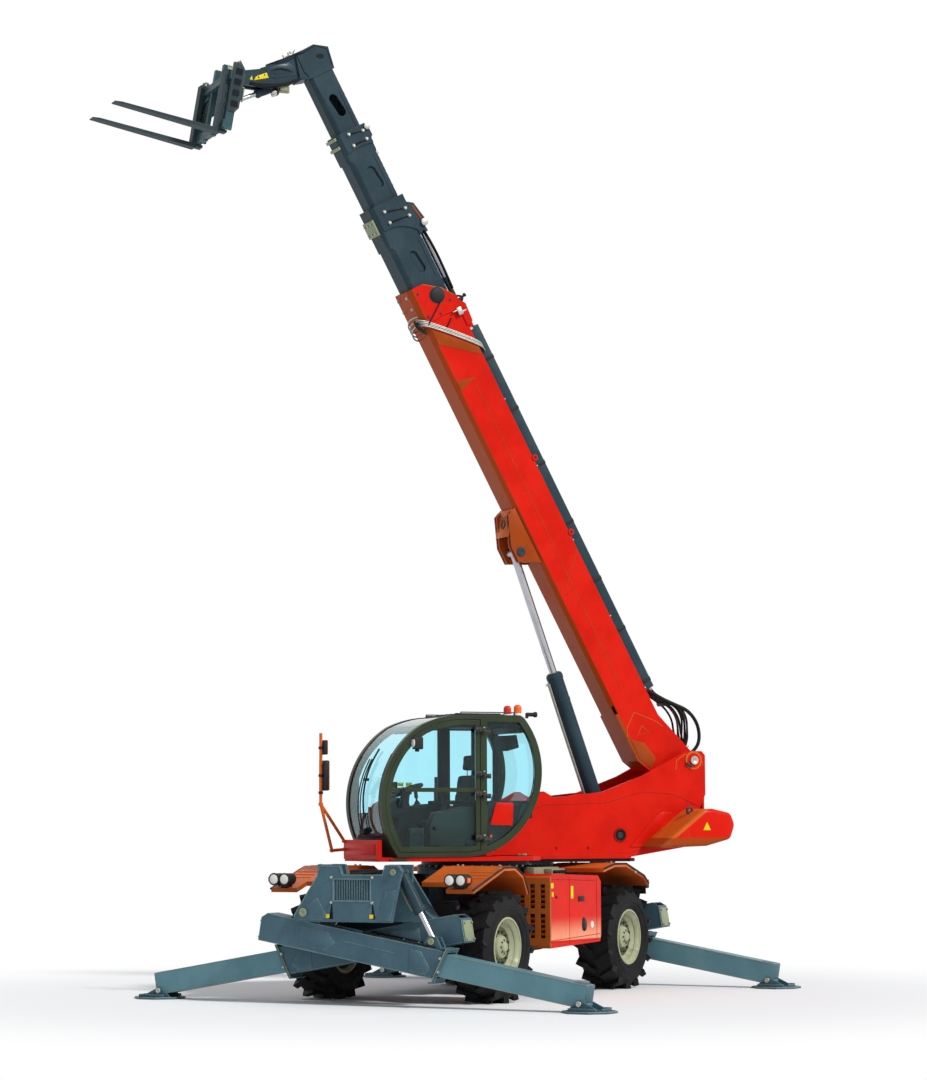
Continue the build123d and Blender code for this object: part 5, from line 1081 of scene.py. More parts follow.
class TELEHANDLER_OT_tilt_and_lift(bpy.types.Operator):
    """Glands, end caps and ports of the lift and tilt cylinders"""

    bl_idname = "telehandler.cylinders"
    bl_label = "Cylinder fittings"

    def execute(self, context):
        gland = turned(((0.0455, 0), (0.094, 0), (0.097, 0.006), (0.097, 0.052), (0.09, 0.06), (0.078, 0.064),
                        (0.074, 0.082), (0.0455, 0.082)), 32, ring=True)
        on_lift_barrel("lift_gland", "dark", moved(gland, at(1.885, 0, 0, FORWARD)))
        bands = [moved(ring(0.0935, 0.088, 0.035, 0.002), at(x, 0, 0, FORWARD)) for x in (0.42, 1.62)]
        bands.append(slab((0.1, -0.055, -0.112), (0.22, 0.055, -0.075), 0.006))
        on_lift_barrel("lift_bands", "dark", bands)
        lines = [pipe(((0.16, y, -0.118), (0.3, y, -0.112), (1.7, y, -0.108), (1.86, y, -0.1)), 0.009)
                 for y in (-0.018, 0.018)]
        on_lift_barrel("lift_pipes", "zinc", lines)
        ports = [moved(nozzle(0.017, 0.03, 0.012, 0.034, 0.05, 6),
                       at(x, 0, -0.088, DOWNWARD)) for x in (0.14, 1.86)]
        on_lift_barrel("lift_ports", "zinc", ports)
        gland = turned(((0.0255, 0), (0.051, 0), (0.053, 0.004), (0.053, 0.03), (0.046, 0.036), (0.042, 0.044),
                        (0.0255, 0.044)), 28, ring=True)
        on_tilt_barrel("tilt_gland", "dark", moved(gland, at(0.362, 0, 0, FORWARD)))
        for end in CORNERS:
            line = JOINTS["stabiliser_" + end + "_jack"]
            place = basis(line["pos_m"], JOINTS["stabiliser_" + end + "_rod"]["axis"], (1, 0, 0))
            gland = turned(((0.0325, 0), (0.064, 0), (0.067, 0.005), (0.067, 0.036), (0.058, 0.042), (0.053, 0.052),
                            (0.0325, 0.052)), 28, ring=True)
            settle(moved(gland, at(0.424, 0, 0, FORWARD)), "jack_gland_" + end, "jack_barrel_" + end, "dark", place)
            tubes = [pipe(((0.07, y, 0.068), (0.14, y, 0.078), (0.36, y, 0.078), (0.42, y, 0.066)), 0.007)
                     for y in (-0.02, 0.02)]
            tubes.append(slab((0.05, -0.035, 0.05), (0.11, 0.035, 0.076), 0.004))
            settle(tubes, "jack_pipes_" + end, "jack_barrel_" + end, "cream", place)
        return {"FINISHED"}


# ---- cab, in the turret's frame: forward, to the left and up from the slew axis -----------------
CAB_LEFT, DOOR_FACE, QUARTER_GLASS = 1.2, 1.195, 1.173
CAB_ROOF = 3.042
# points of (forward, up) on the windscreen
SCREEN_ARC = ((1.44, 1.52), (1.634, 2.1), (1.16, 2.93))
HINGES = (1.715, 2.185, 2.4, 2.87)
WORK_LAMPS = (0.32, 1.12)
WALL_RIGHT = 0.2605  # inner face of the right wall


def circle_through(a, b, c):
    """Centre and radius of the circle through three points."""
    a, b, c = (complex(*point) for point in (a, b, c))
    w = (c - a) / (b - a)
    centre = (b - a) * (w - abs(w) ** 2) / (2j * w.imag) + a
    return centre.real, centre.imag, abs(a - centre)


SCREEN_X, SCREEN_Z, SCREEN_RADIUS = circle_through(*SCREEN_ARC)


def on_screen(up, out=0):
    """How far forward the windscreen is at a height, and beyond its face by a distance."""
    return SCREEN_X + math.sqrt((SCREEN_RADIUS + out) ** 2 - (up - SCREEN_Z) ** 2)


class TELEHANDLER_OT_cab_outside(bpy.types.Operator):
    """Wiper, lamps, beacons, hinges, badge, seals and roof of the cab"""

    bl_idname = "telehandler.cab_outside"
    bl_label = "Cab outside"

    def execute(self, context):
        heights = [1.8 + 0.11 * step for step in range(8)]
        arms = [pipe([(on_screen(up, out), y + 0.1 * (up - 1.8), up) for up in heights], 0.007)
                for y, out in ((0.6, 0.034), (0.66, 0.034))]
        arms.append(pipe([(on_screen(up, 0.016), 0.73, up) for up in [1.98 + 0.1 * step for step in range(8)]], 0.01))
        pivot = boss(0.032, 0.05, 0.006)
        arms.append(copies(pivot, [at(on_screen(1.79) - 0.004, y, 1.79, FORWARD) for y in (0.6, 0.66)]))
        arms.append(slab((on_screen(2.35) - 0.02, 0.69, 2.335), (on_screen(2.35) + 0.035, 0.745, 2.365), 0.004))
        on_turret("wiper", "black", arms)

        seal = [pipe([(on_screen(up, -0.003), y, up) for up in [1.735 + 0.11 * step for step in range(9)]], 0.008)
                for y in (0.275, 1.125)]
        on_turret("screen_seals", "black", seal)

        lamp = [slab((1.165, DOOR_FACE - 0.004, 2.665), (1.275, DOOR_FACE + 0.052, 2.795), 0.012, 3),
                slab((1.2, DOOR_FACE - 0.01, 2.64), (1.24, DOOR_FACE + 0.02, 2.67), 0.004)]
        on_door("door_lamp", "black", lamp)
        on_door("door_lamp_lens", "white", moved(dome(0.044, 0.014), at(1.272, DOOR_FACE + 0.026, 2.73, FORWARD)))
        handle = pipe(((1.405, DOOR_FACE, 2.2), (1.405, DOOR_FACE + 0.045, 2.19), (1.412, DOOR_FACE + 0.045, 2.06),
                       (1.412, DOOR_FACE, 2.05)), 0.011)
        latch = [moved(boss(0.028, 0.018, 0.004), at(1.385, DOOR_FACE, 2.235, LEFTWARD)),
                 moved(boss(0.02, 0.022, 0.004), at(1.005, DOOR_FACE - 0.018, 1.822, LEFTWARD))]
        on_door("door_handle", "black", [handle] + latch)

        leaf = slab((0, 0, -0.026), (0.07, 0.006, 0.026), 0.003)
        heads = copies(bolt(0.02, 0.012), [at(x, 0.006, 0, LEFTWARD) for x in (0.018, 0.052)])
        door_leaf = joined([leaf, heads])
        frame_leaf = again(door_leaf)
        on_door("hinge_leaves", "iron",
                copies(door_leaf, [at(0.482, DOOR_FACE + 0.04, height + 0.012) for height in HINGES]))
        on_turret("hinge_plates", "iron",
                  copies(frame_leaf, [at(0.352, CAB_LEFT - 0.001, height - 0.016) for height in HINGES]))
        pins = copies(boss(0.013, 0.014, 0.003), [at(0.445, 1.226, height + 0.028) for height in HINGES])
        on_turret("hinge_pins", "zinc", pins)

        badge = prism(((0.357, 1.863), (0.09, 1.851), (0.077, 2.085), (0.092, 2.097), (0.27, 2.1), (0.288, 2.09)),
                      QUARTER_GLASS, QUARTER_GLASS + 0.009, edge=0.004)
        on_turret("blank_badge", "red", badge)
        dot = moved(boss(0.014, 0.008, 0.002), at(0.346, QUARTER_GLASS, 1.742, LEFTWARD))
        on_turret("window_button", "beacon", dot)

        lens = turned(((0, 0.118), (0.018, 0.116), (0.033, 0.107), (0.0415, 0.09), (0.043, 0.072), (0.043, 0.034),
                       (0.045, 0.03), (0.045, 0.024), (0, 0.024)), 28)
        other = again(lens)
        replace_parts(on_turret("beacon_left", "beacon", moved(lens, at(0, 1.13, CAB_ROOF))), "beacons")
        on_turret("beacon_right", "red_lens", moved(other, at(0, 0.87, CAB_ROOF)))
        base = turned(((0, 0.026), (0.04, 0.026), (0.047, 0.02), (0.05, 0.012), (0.054, 0), (0, 0)), 28)
        on_turret("beacon_bases", "white", copies(base, (at(0, 1.13, CAB_ROOF), at(0, 0.87, CAB_ROOF))))

        roof = [slab((0.13, 0.33, CAB_ROOF - 0.004), (0.66, 1.07, CAB_ROOF + 0.014), 0.006)]
        roof += [slab((0.15, y - 0.018, CAB_ROOF + 0.01), (0.64, y + 0.018, CAB_ROOF + 0.024), 0.004)
                 for y in (0.4, 0.52, 0.64, 0.76, 0.88, 1)]
        roof += [slab((0.46, 1.085, CAB_ROOF - 0.004), (0.73, 1.125, CAB_ROOF + 0.02), 0.006),
                 slab((0.4, 0.31, CAB_ROOF - 0.004), (0.73, 0.325, CAB_ROOF + 0.016), 0.004)]
        on_turret("roof_hatch", "black", roof)
        rail = [pipe(((0.7, y, CAB_ROOF - 0.01), (0.69, y, CAB_ROOF + 0.028), (0.06, y, CAB_ROOF + 0.028),
                      (0.05, y, CAB_ROOF - 0.005)), 0.008, smooth=False) for y in (0.235, 1.165)]
        on_turret("roof_rails", "cab", rail)
        rear = [moved(turned(((0, 0), (0.018, 0), (0.022, 0.01), (0.022, 0.09), (0.03, 0.1), (0.03, 0.125),
                              (0, 0.125)), 18), at(-0.105, y, CAB_ROOF + 0.012, BACKWARD)) for y in WORK_LAMPS]
        rear += [slab((-0.13, y - 0.012, CAB_ROOF - 0.03), (-0.1, y + 0.012, CAB_ROOF + 0.005), 0.003)
                 for y in WORK_LAMPS]
        on_turret("rear_work_lamps", "black", rear)
        lenses = copies(dome(0.027, 0.008), [at(-0.229, y, CAB_ROOF + 0.012, BACKWARD) for y in WORK_LAMPS])
        on_turret("rear_lamp_lenses", "white", lenses)

        glass = [slab((1.85, 0.105, 2.255), (1.8545, 0.265, 2.545), 0.001, 1),
                 slab((1.865, 0.125, 2.642), (1.8695, 0.255, 2.768), 0.001, 1)]
        on_turret("mirror_glass", "mirror", glass)
        shells = [slab((1.858, 0.091, 2.236), (1.909, 0.279, 2.564), 0.012, 3),
                  slab((1.873, 0.111, 2.626), (1.909, 0.269, 2.784), 0.01, 3)]
        on_turret("mirror_shells", "black", shells)
        clamps = copies(ring(0.026, 0.0171, 0.03, 0.003), [at(1.93, 0.205, z) for z in (2.385, 2.685, 2.2)])
        on_turret("mirror_clamps", "black", clamps)
        on_turret("blank_front_plate", "red", slab((1.6551, 0.24, 1.545), (1.66, 1.08, 1.665), 0.002))
        steps = [slab((1.3 - 0.3 * k, 1.1, 1.478), (1.52 - 0.3 * k, 1.182, 1.5), 0.003) for k in range(3)]
        on_turret("cab_sill", "cab", steps)
        return {"FINISHED"}


class TELEHANDLER_OT_cab_inside(bpy.types.Operator):
    """Lining, pillars, dashboard, consoles, joysticks and pedals"""

    bl_idname = "telehandler.cab_inside"
    bl_label = "Cab inside"

    def execute(self, context):
        lining = [slab((-0.02, 0.262, 2.915), (0.72, 1.138, 2.98), 0.01)]
        lining += [slab((low, WALL_RIGHT, 1.97), (high, 0.292, 2.93), 0.006)
                   for low, high in ((0.43, 0.575), (0.055, 0.165), (-0.165, -0.095))]
        lining += [slab((-0.17, 0.262, 1.93), (-0.12, 1.138, 2.12), 0.008),
                   slab((0.16, 0.262, 1.64), (0.62, 1.138, 1.7), 0.006),
                   slab((-0.14, WALL_RIGHT, 1.575), (1.395, 0.274, 2.06), 0.004)]
        heights = [1.575 + 0.07 * step for step in range(7)]
        kick = ([(on_screen(up, -0.03), up) for up in heights]
                + [(on_screen(up, -0.042), up) for up in reversed(heights)])
        lining.append(prism(kick, 0.285, 1.115, edge=0))
        quarter = ((0.4, 1.64), (0.26, 1.66), (0.12, 1.76), (0.02, 1.88), (-0.06, 2.12), (0.4, 2.12))
        lining.append(prism(quarter, QUARTER_GLASS - 0.045, QUARTER_GLASS - 0.039, edge=0.001))
        on_turret("cab_lining", "black", lining)

        console = [prism(((0.2, 1.7), (0.24, 2.03), (0.62, 2.06), (0.98, 1.99), (1.04, 1.86), (1.03, 1.6),
                          (0.3, 1.6)), 0.985, 1.115, edge=0.018),
                   prism(((0.52, 2.06), (0.54, 2.1), (0.9, 2.085), (0.92, 2.02)), 0.3, 0.42, edge=0.014)]
        on_turret("side_consoles", "moss", console)
        dash = [prism(((1.18, 2.02), (1.2, 2.12), (1.3, 2.16), (1.44, 2.08), (1.46, 1.98), (1.36, 1.93)), 0.46, 0.94,
                      edge=0.016),
                slab((1.15, 0.34, 2.2), (1.175, 0.5, 2.33), 0.006), slab((1.16, 0.41, 2.05), (1.18, 0.43, 2.21), 0.004)]
        on_turret("dashboard", "black", dash)
        on_turret("dash_display", "mirror", slab((1.1465, 0.352, 2.212), (1.1505, 0.488, 2.318), 0.001, 1))

        grip = turned(((0, 0.185), (0.014, 0.183), (0.022, 0.172), (0.024, 0.15), (0.019, 0.115), (0.021, 0.085),
                       (0.024, 0.075), (0.012, 0.068), (0.011, 0.045), (0.022, 0.03), (0.034, 0.01), (0.04, 0), (0, 0)),
                      20)
        sticks = copies(grip, (at(0.86, 0.365, 2.088, (0, 8, 0)), at(0.84, 1.05, 2.02, (0, 8, 0))))
        pedals = [slab((1.36, y - 0.04, 1.6), (1.42, y + 0.04, 1.73), 0.005) for y in (0.56, 0.84)]
        speaker = moved(ring(0.074, 0.058, 0.012, 0.003), at(1.18, 1.118, 1.72, LEFTWARD))
        cone = moved(dome(0.058, 0.008), at(1.18, 1.116, 1.72, LEFTWARD))
        on_turret("joysticks", "black", [sticks, speaker, cone] + pedals)
        on_turret("speaker_panel", "moss", slab((1.1, 1.04, 1.58), (1.27, 1.118, 1.83), 0.01))
        tags = [slab((0.88 + 0.1 * k, WALL_RIGHT, 2.285), (0.95 + 0.1 * k, 0.264, 2.325), 0.001, 1) for k in range(3)]
        on_turret("cab_tags", "yellow", tags)
        boxes = [prism(((0.02, 2.66), (0.05, 2.83), (-0.1, 2.84), (-0.13, 2.7)), 0.6, 0.9, edge=0.012)]
        on_turret("rear_heater", "black", boxes)
        blind = [pipe(((1.12, y, 2.9), (1.115, y, 2.87)), 0.006, smooth=False) for y in (0.4, 1)]
        roll = moved(turned(((0, 0), (0.018, 0), (0.02, 0.01), (0.02, 0.69), (0.018, 0.7), (0, 0.7)), 16),
                     at(1.112, 0.35, 2.865, LEFTWARD))
        on_turret("sun_blind", "fabric", blind + [roll])
        return {"FINISHED"}


# ---- turret and chassis trim -------------------------------------------------------------------
# faces, to the left of the slew axis
CHEEK_LEFT, CHEEK_RIGHT = 0.13, -0.53
WEIGHT_LEFT, WEIGHT_RIGHT = 0.62, -1.02
HOOD_LEFT, TANK_RIGHT = 1.2, -1.2
COVER_RIGHT = -1.085
REAR_LAMPS = (0.44, -0.84)
# pins through both cheeks, (forward, up)
BOOM_PIN = (-2.713, 2.591)
LIFT_PIN = (-1.755, 1.738)
# radii of the circles of bolts above and below the slew ring
DECK_BOLTS, RING_BOLTS = 0.56, 0.622
FENDER_TOP = 1.427


def on_cheeks(x, z, out=0):
    """A place on both cheeks of the turret, facing outwards and beyond each by a distance."""
    return at(x, CHEEK_LEFT + out, z, LEFTWARD), at(x, CHEEK_RIGHT - out, z, RIGHTWARD)


def beside(outline, y):
    """Points of (forward, up) at a distance to the left of the slew axis."""
    return [(x, y, z) for x, z in outline]


class TELEHANDLER_OT_turret_trim(bpy.types.Operator):
    """Welds, pin keepers, access holes with painted shade in them, grilles and lamps of the turret and its
    counterweight
    """

    bl_idname = "telehandler.turret_trim"
    bl_label = "Turret trim"

    def execute(self, context):
        flanks = (CHEEK_LEFT, CHEEK_RIGHT)
        pentagon = ((-2.478, 2.482), (-2.49, 2.587), (-2.6, 2.659), (-2.812, 2.642), (-2.826, 2.53))
        lower = ((-2.78, 2.06), (-2.45, 2.2), (-2.05, 2.23), (-1.55, 2.1), (-0.8, 2.08), (-0.55, 1.98))
        on_turret("cheek_welds", "orange", [bead(beside(pentagon, y), 0.006) for y in flanks])
        lines = [bead(beside(lower, y), 0.0035) for y in flanks]
        lines += [bead(beside(((-2.75, 1.66), (-2.1, 1.6), (-1.78, 1.5), (-0.3, 1.5)), y), 0.0035)
                  for y in flanks]
        on_turret("cheek_seams", "deep_red", lines)

        on_turret("pivot_rings", "orange", copies(ring(0.108, 0.083, 0.01, 0.003), on_cheeks(*BOOM_PIN)))
        on_turret("pivot_caps", "zinc", copies(boss(0.05, 0.006, 0.002), on_cheeks(*BOOM_PIN, 0.03)))
        keeper = ((-2.68, 2.505), (-2.6, 2.545), (-2.612, 2.57), (-2.692, 2.53))
        keepers = [prism(keeper, low, low + 0.009, edge=0.002) for low in (CHEEK_LEFT + 0.015, CHEEK_RIGHT - 0.024)]
        keepers.append(copies(bolt(0.02, 0.012), [*on_cheeks(-2.672, 2.524, 0.024), *on_cheeks(-2.62, 2.55, 0.024)]))
        on_turret("pivot_keepers", "dark", keepers)
        on_turret("lift_pin_rims", "deep_red", copies(ring(0.082, 0.066, 0.01, 0.003), on_cheeks(*LIFT_PIN)))
        # dark disc inside the rim: painted shade in the pin's hole
        on_turret("lift_pin_wells", "dark_gap", copies(boss(0.067, 0.003, 0.001), on_cheeks(*LIFT_PIN)))
        on_turret("lift_pin_ends", "iron", copies(boss(0.034, 0.009, 0.003), on_cheeks(*LIFT_PIN)))
        fixings = [place for x, z in ((0.62, 1.64), (0.2, 1.62), (-0.3, 1.72), (-0.95, 1.6), (-1.35, 1.6))
                   for place in on_cheeks(x, z)]
        on_turret("cheek_bolts", "deep_red", copies(bolt(0.022, 0.012), fixings))
        skirt = [slab((-1.88, y - 0.012, 1.44), (-0.55, y + 0.012, 1.478), 0.003) for y in (0.118, -0.518)]
        skirt.append(slab((-1.93, 0.095, 1.442), (-1.86, 0.15, 1.48), 0.004))
        on_turret("cheek_skirts", "black", skirt)

        # counterweight
        sign = ((-2.563, 1.791), (-2.611, 1.884), (-2.659, 1.791))
        signs = [prism(sign, WEIGHT_LEFT - 0.001, WEIGHT_LEFT + 0.003, edge=0.0005),
                 prism(sign, WEIGHT_RIGHT - 0.004, WEIGHT_RIGHT + 0.001, edge=0.0005)]
        on_turret("blank_warning_signs", "yellow", signs)
        body = prism(((-2, 1.592), (-2.62, 1.612), (-2.93, 1.69), (-2.985, 1.85), (-2.935, 1.985), (-2.7, 2.035),
                      (-2.58, 2.03)), WEIGHT_RIGHT, WEIGHT_LEFT, edge=0)
        # its weight paint gives it a painted highlight on the sloping face and painted shade along the bottom
        weight = on_turret("counterweight_casting", "weight", rounded(body, 0.045, 4, 20), 30)
        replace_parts(weight, "counterweight")
        swells = [prism(((-1.87, 1.6), (-2.23, 1.965), (-2.3, 2), (-2.43, 2), (-2.04, 1.6)), low, low + 0.026,
                        edge=0.011) for low in (CHEEK_LEFT - 0.012, CHEEK_RIGHT - 0.014)]
        on_turret("cheek_swells", "red", swells)
        lifting = copies(ring(0.045, 0.024, 0.026, 0.005),
                         [at(-2.52, y - 0.013, 2.015, LEFTWARD) for y in (0.38, -0.8)])
        on_turret("weight_eyes", "dark", lifting)
        lamps = [slab((-2.985, y - 0.11, 1.845), (-2.955, y + 0.11, 1.925), 0.006) for y in REAR_LAMPS]
        on_turret("rear_lamp_shells", "black", lamps)
        lens = [slab((-2.99, y - 0.1, 1.855), (-2.984, y - 0.01, 1.915), 0.002) for y in REAR_LAMPS]
        on_turret("rear_lamp_red", "red_lens", lens)
        lens = [slab((-2.99, y + 0.01, 1.855), (-2.984, y + 0.1, 1.915), 0.002) for y in REAR_LAMPS]
        on_turret("rear_lamp_amber", "beacon", lens)
        web = [slab((-2.872, y - 0.1, 2.1), (-2.864, y + 0.1, 2.34), 0.003) for y in (-0.34, -0.06)]
        on_turret("rear_web_covers", "red", web)

        # cover on the right
        grille = [slab((-1.28 + 0.075 * k, COVER_RIGHT - 0.006, 1.62), (-1.235 + 0.075 * k, COVER_RIGHT + 0.002, 1.95),
                       0.002) for k in range(9)]
        grille += [slab((-1.31, COVER_RIGHT - 0.008, z), (-0.59, COVER_RIGHT + 0.002, z + 0.02), 0.002)
                   for z in (1.6, 1.95)]
        on_turret("cover_grille", "black", grille)
        seams = [bead(beside(line, COVER_RIGHT), 0.0035) for line in (
            ((-1.42, 1.54), (-1.42, 2.04), (-1.38, 2.06), (-0.5, 2.06), (-0.5, 1.54)),
            ((-0.46, 1.54), (-0.46, 2.06), (0.44, 2.06), (0.44, 1.54)))]
        on_turret("cover_seams", "deep_red", seams)
        handles = [slab((x, COVER_RIGHT - 0.016, 1.8), (x + 0.13, COVER_RIGHT + 0.002, 1.845), 0.006)
                   for x in (-0.64, 0.25)]
        handles += [slab((x - 0.03, COVER_RIGHT - 0.01, z), (x + 0.03, COVER_RIGHT + 0.002, z + 0.03), 0.003)
                    for x in (-1.36, -0.4) for z in (1.62, 1.95)]
        on_turret("cover_handles", "black", handles)
        # the vent on the cover's top is painted near-black: painted shade in its openings
        top = [slab((-1.35, -1.02, 2.076), (-0.55, -0.62, 2.09), 0.004)]
        top += [slab((-1.32 + 0.095 * k, -1, 2.086), (-1.28 + 0.095 * k, -0.64, 2.1), 0.004) for k in range(8)]
        on_turret("cover_vent", "dark_gap", top)
        stack = [moved(turned(((0.034, 0), (0.044, 0), (0.046, 0.01), (0.046, 0.2), (0.04, 0.215), (0.04, 0.33),
                               (0.034, 0.33)), 22, ring=True), at(0.1, -0.8, 2.075)),
                 moved(ring(0.062, 0.043, 0.016, 0.003), at(0.1, -0.8, 2.076))]
        on_turret("exhaust", "iron", stack)
        cap = moved(turned(((0, 0.045), (0.03, 0.045), (0.048, 0.036), (0.052, 0.02), (0.052, 0), (0, 0)), 20),
                    at(-0.2, -0.8, 2.078))
        on_turret("filler_cap", "black", cap)

        # deck behind the cab
        treads = [slab((x, 0.2, 1.519), (x + 0.05, 0.86 - 0.5 * max(0, -x - 0.18), 1.525), 0.001, 1)
                  for x in (-0.16, -0.26, -0.36)]
        on_turret("deck_treads", "black", treads)
        # only where the deck is open: behind the slew axis and clear of the cheeks
        free = [place for place in round_about(DECK_BOLTS, 40, 1.5195)
                if place.translation.x < -0.3 and place.translation.y > 0.16]
        on_turret("slew_bolts", "zinc", copies(bolt(0.026, 0.016), free))
        hoses = [pipe(((-0.7, -0.02 - 0.05 * k, 1.53), (-0.8, -0.02 - 0.05 * k, 1.6), (-1.15, -0.04 - 0.04 * k, 1.59),
                       (-1.5, -0.05 - 0.03 * k, 1.56), (-1.7, -0.1 - 0.03 * k, 1.6)), 0.015) for k in range(4)]
        on_turret("turret_hoses", "hose", hoses)
        return {"FINISHED"}


class TELEHANDLER_OT_chassis_trim(bpy.types.Operator):
    """Hood panels, blank plates, fender lips, lamps and the ring of slewing bolts"""

    bl_idname = "telehandler.chassis_trim"
    bl_label = "Chassis trim"

    def execute(self, context):
        # hood on the left and tank box on the right
        for hand, name, side in ((1, "hood", HOOD_LEFT), (-1, "tank", TANK_RIGHT)):
            lines = [bead(beside(line, side), 0.0035) for line in (
                ((0.06, 1.285), (0.06, 0.56)), ((-0.625, 1.265), (-0.625, 0.585)),
                ((0.515, 0.61), (-0.715, 0.65)), ((0.47, 1.27), (-0.64, 1.24)))]
            on_chassis(name + "_seams", "deep_red", lines)
            low, high = sorted((side - hand * 0.001, side + hand * 0.004))
            latch = [slab((-0.3, low, 1.02), (-0.16, high + 0.006, 1.075), 0.004),
                     moved(boss(0.016, 0.01, 0.003), at(0.385, side, 1.078, LEFTWARD if hand > 0 else RIGHTWARD))]
            on_chassis(name + "_latches", "black", latch)
        slat = prism(((0.5, 0), (0.53, 0.03), (0.5335, 0.03), (0.5335, 0.024), (0.506, -0.004)), -0.034, 0.034,
                     edge=0.001)
        slats = copies(slat, [at(0, middle, low + 0.055 * k) for middle in (0.61, 0.735, 0.86, 0.985, 1.11)
                              for low in (0.665, 0.985) for k in range(4)])
        # the slats lie below 1.2 m, so they take the fender paint's dark brown painted shade
        on_chassis("hood_slats", "fender", slats)
        tags = [slab((x, HOOD_LEFT - 0.001, z), (x + wide, HOOD_LEFT + 0.003, z + tall), 0.0008, 1)
                for x, z, wide, tall in ((0.455, 1.175, 0.055, 0.055), (-0.03, 1.055, 0.055, 0.135),
                                         (0.455, 1.085, 0.04, 0.05))]
        on_chassis("hood_tags", "yellow", tags)
        # a dark drop on the hood's flank: painted shade in a port
        drop = ((-0.262, 0.835), (-0.245, 0.76), (-0.262, 0.7), (-0.305, 0.688), (-0.35, 0.7), (-0.372, 0.76),
                (-0.345, 0.82), (-0.3, 0.845))
        on_chassis("hood_port", "dark_gap", prism(drop, HOOD_LEFT - 0.001, HOOD_LEFT + 0.004, edge=0.001))
        on_chassis("round_sign", "white", moved(boss(0.038, 0.004, 0.001), at(-0.506, HOOD_LEFT, 0.757, LEFTWARD)))
        strip = [slab((-0.7, HOOD_LEFT - 0.001, 0.588), (0.515, HOOD_LEFT + 0.005, 0.606), 0.002)]
        on_chassis("hood_strip", "red", strip)
        rungs = [slab((-0.24, TANK_RIGHT + 0.004, z), (0.14, TANK_RIGHT + 0.145, z + 0.01), 0.002)
                 for z in (0.706, 0.986)]
        rungs += [slab((-0.22 + 0.055 * k, TANK_RIGHT + 0.01, z + 0.008),
                       (-0.2 + 0.055 * k, TANK_RIGHT + 0.14, z + 0.014), 0.001, 1)
                  for z in (0.706, 0.986) for k in range(7)]
        on_chassis("step_treads", "black", rungs)
        cap = moved(turned(((0, 0.04), (0.04, 0.04), (0.058, 0.032), (0.062, 0.018), (0.062, 0), (0, 0)), 20),
                    at(0.33, TANK_RIGHT + 0.002, 1.15, RIGHTWARD))
        on_chassis("tank_cap", "black", cap)

        # fenders
        front = ((2.34, 1.2), (1.76, 1.389), (1.64, 1.424), (1.39, 1.424), (1.2, 1.338), (1.082, 1.145))
        rear = ((-0.77, 1.372), (-1.06, 1.424), (-1.365, 1.424), (-1.85, 1.28), (-1.972, 1.192))
        lips = [bead([(x, hand * 1.22, z - 0.008) for x, z in line], 0.012) for line in (front, rear)
                for hand in (1, -1)]
        on_chassis("fender_lips", "black", lips)
        grooves = [bead(((x, hand * 0.92, z), (x, hand * 1.19, z)), 0.0045)
                   for x, z in ((1.84, 1.363), (1.93, 1.334), (2.02, 1.304)) for hand in (1, -1)]
        grooves += [bead(((x, hand * 0.53, FENDER_TOP), (x, hand * 1.19, FENDER_TOP)), 0.0045)
                    for x in (1.46, 1.57) for hand in (1, -1)]
        on_chassis("fender_grooves", "brown", grooves)
        bolts = copies(bolt(0.024, 0.014), [at(x, hand * y, FENDER_TOP) for x in (1.515, -1.215)
                                            for y in (0.6, 0.66, 1.1) for hand in (1, -1)])
        on_chassis("fender_bolts", "zinc", bolts)
        flaps = [prism(((-1.955, 1.2), (-1.975, 1.19), (-1.99, 1.06), (-1.97, 1.06)),
                       *sorted((hand * 0.62, hand * 1.18)), edge=0.003) for hand in (1, -1)]
        on_chassis("mud_flaps", "hose", flaps)

        # lamps
        bowls = [at(2.424, hand * y, 1.296, FORWARD) for y in (0.995, 1.125) for hand in (1, -1)]
        on_chassis("headlamp_rims", "black", copies(ring(0.066, 0.052, 0.014, 0.004), bowls))
        on_chassis("headlamp_lenses", "white", copies(dome(0.054, 0.02), bowls))
        on_chassis("side_lamps", "beacon", twin_slabs((2.36, 1.186, 1.27), (2.42, 1.204, 1.32), 0.003))
        on_chassis("tail_lamp_boxes", "black", twin_slabs((-2.035, 0.98, 1.125), (-1.945, 1.2, 1.225), 0.01))
        for name, finish, inner, outer in (("red", "red_lens", 1.065, 1.125), ("amber", "beacon", 1.13, 1.19),
                                           ("white", "white", 0.995, 1.06)):
            lenses = twin_slabs((-2.041, inner, 1.14), (-2.034, outer, 1.21), 0.003)
            on_chassis("tail_lamp_" + name, finish, lenses)
        on_chassis("fender_spots", "white", copies(boss(0.022, 0.006, 0.002), both(-1.62, 1.219, 1.325)))

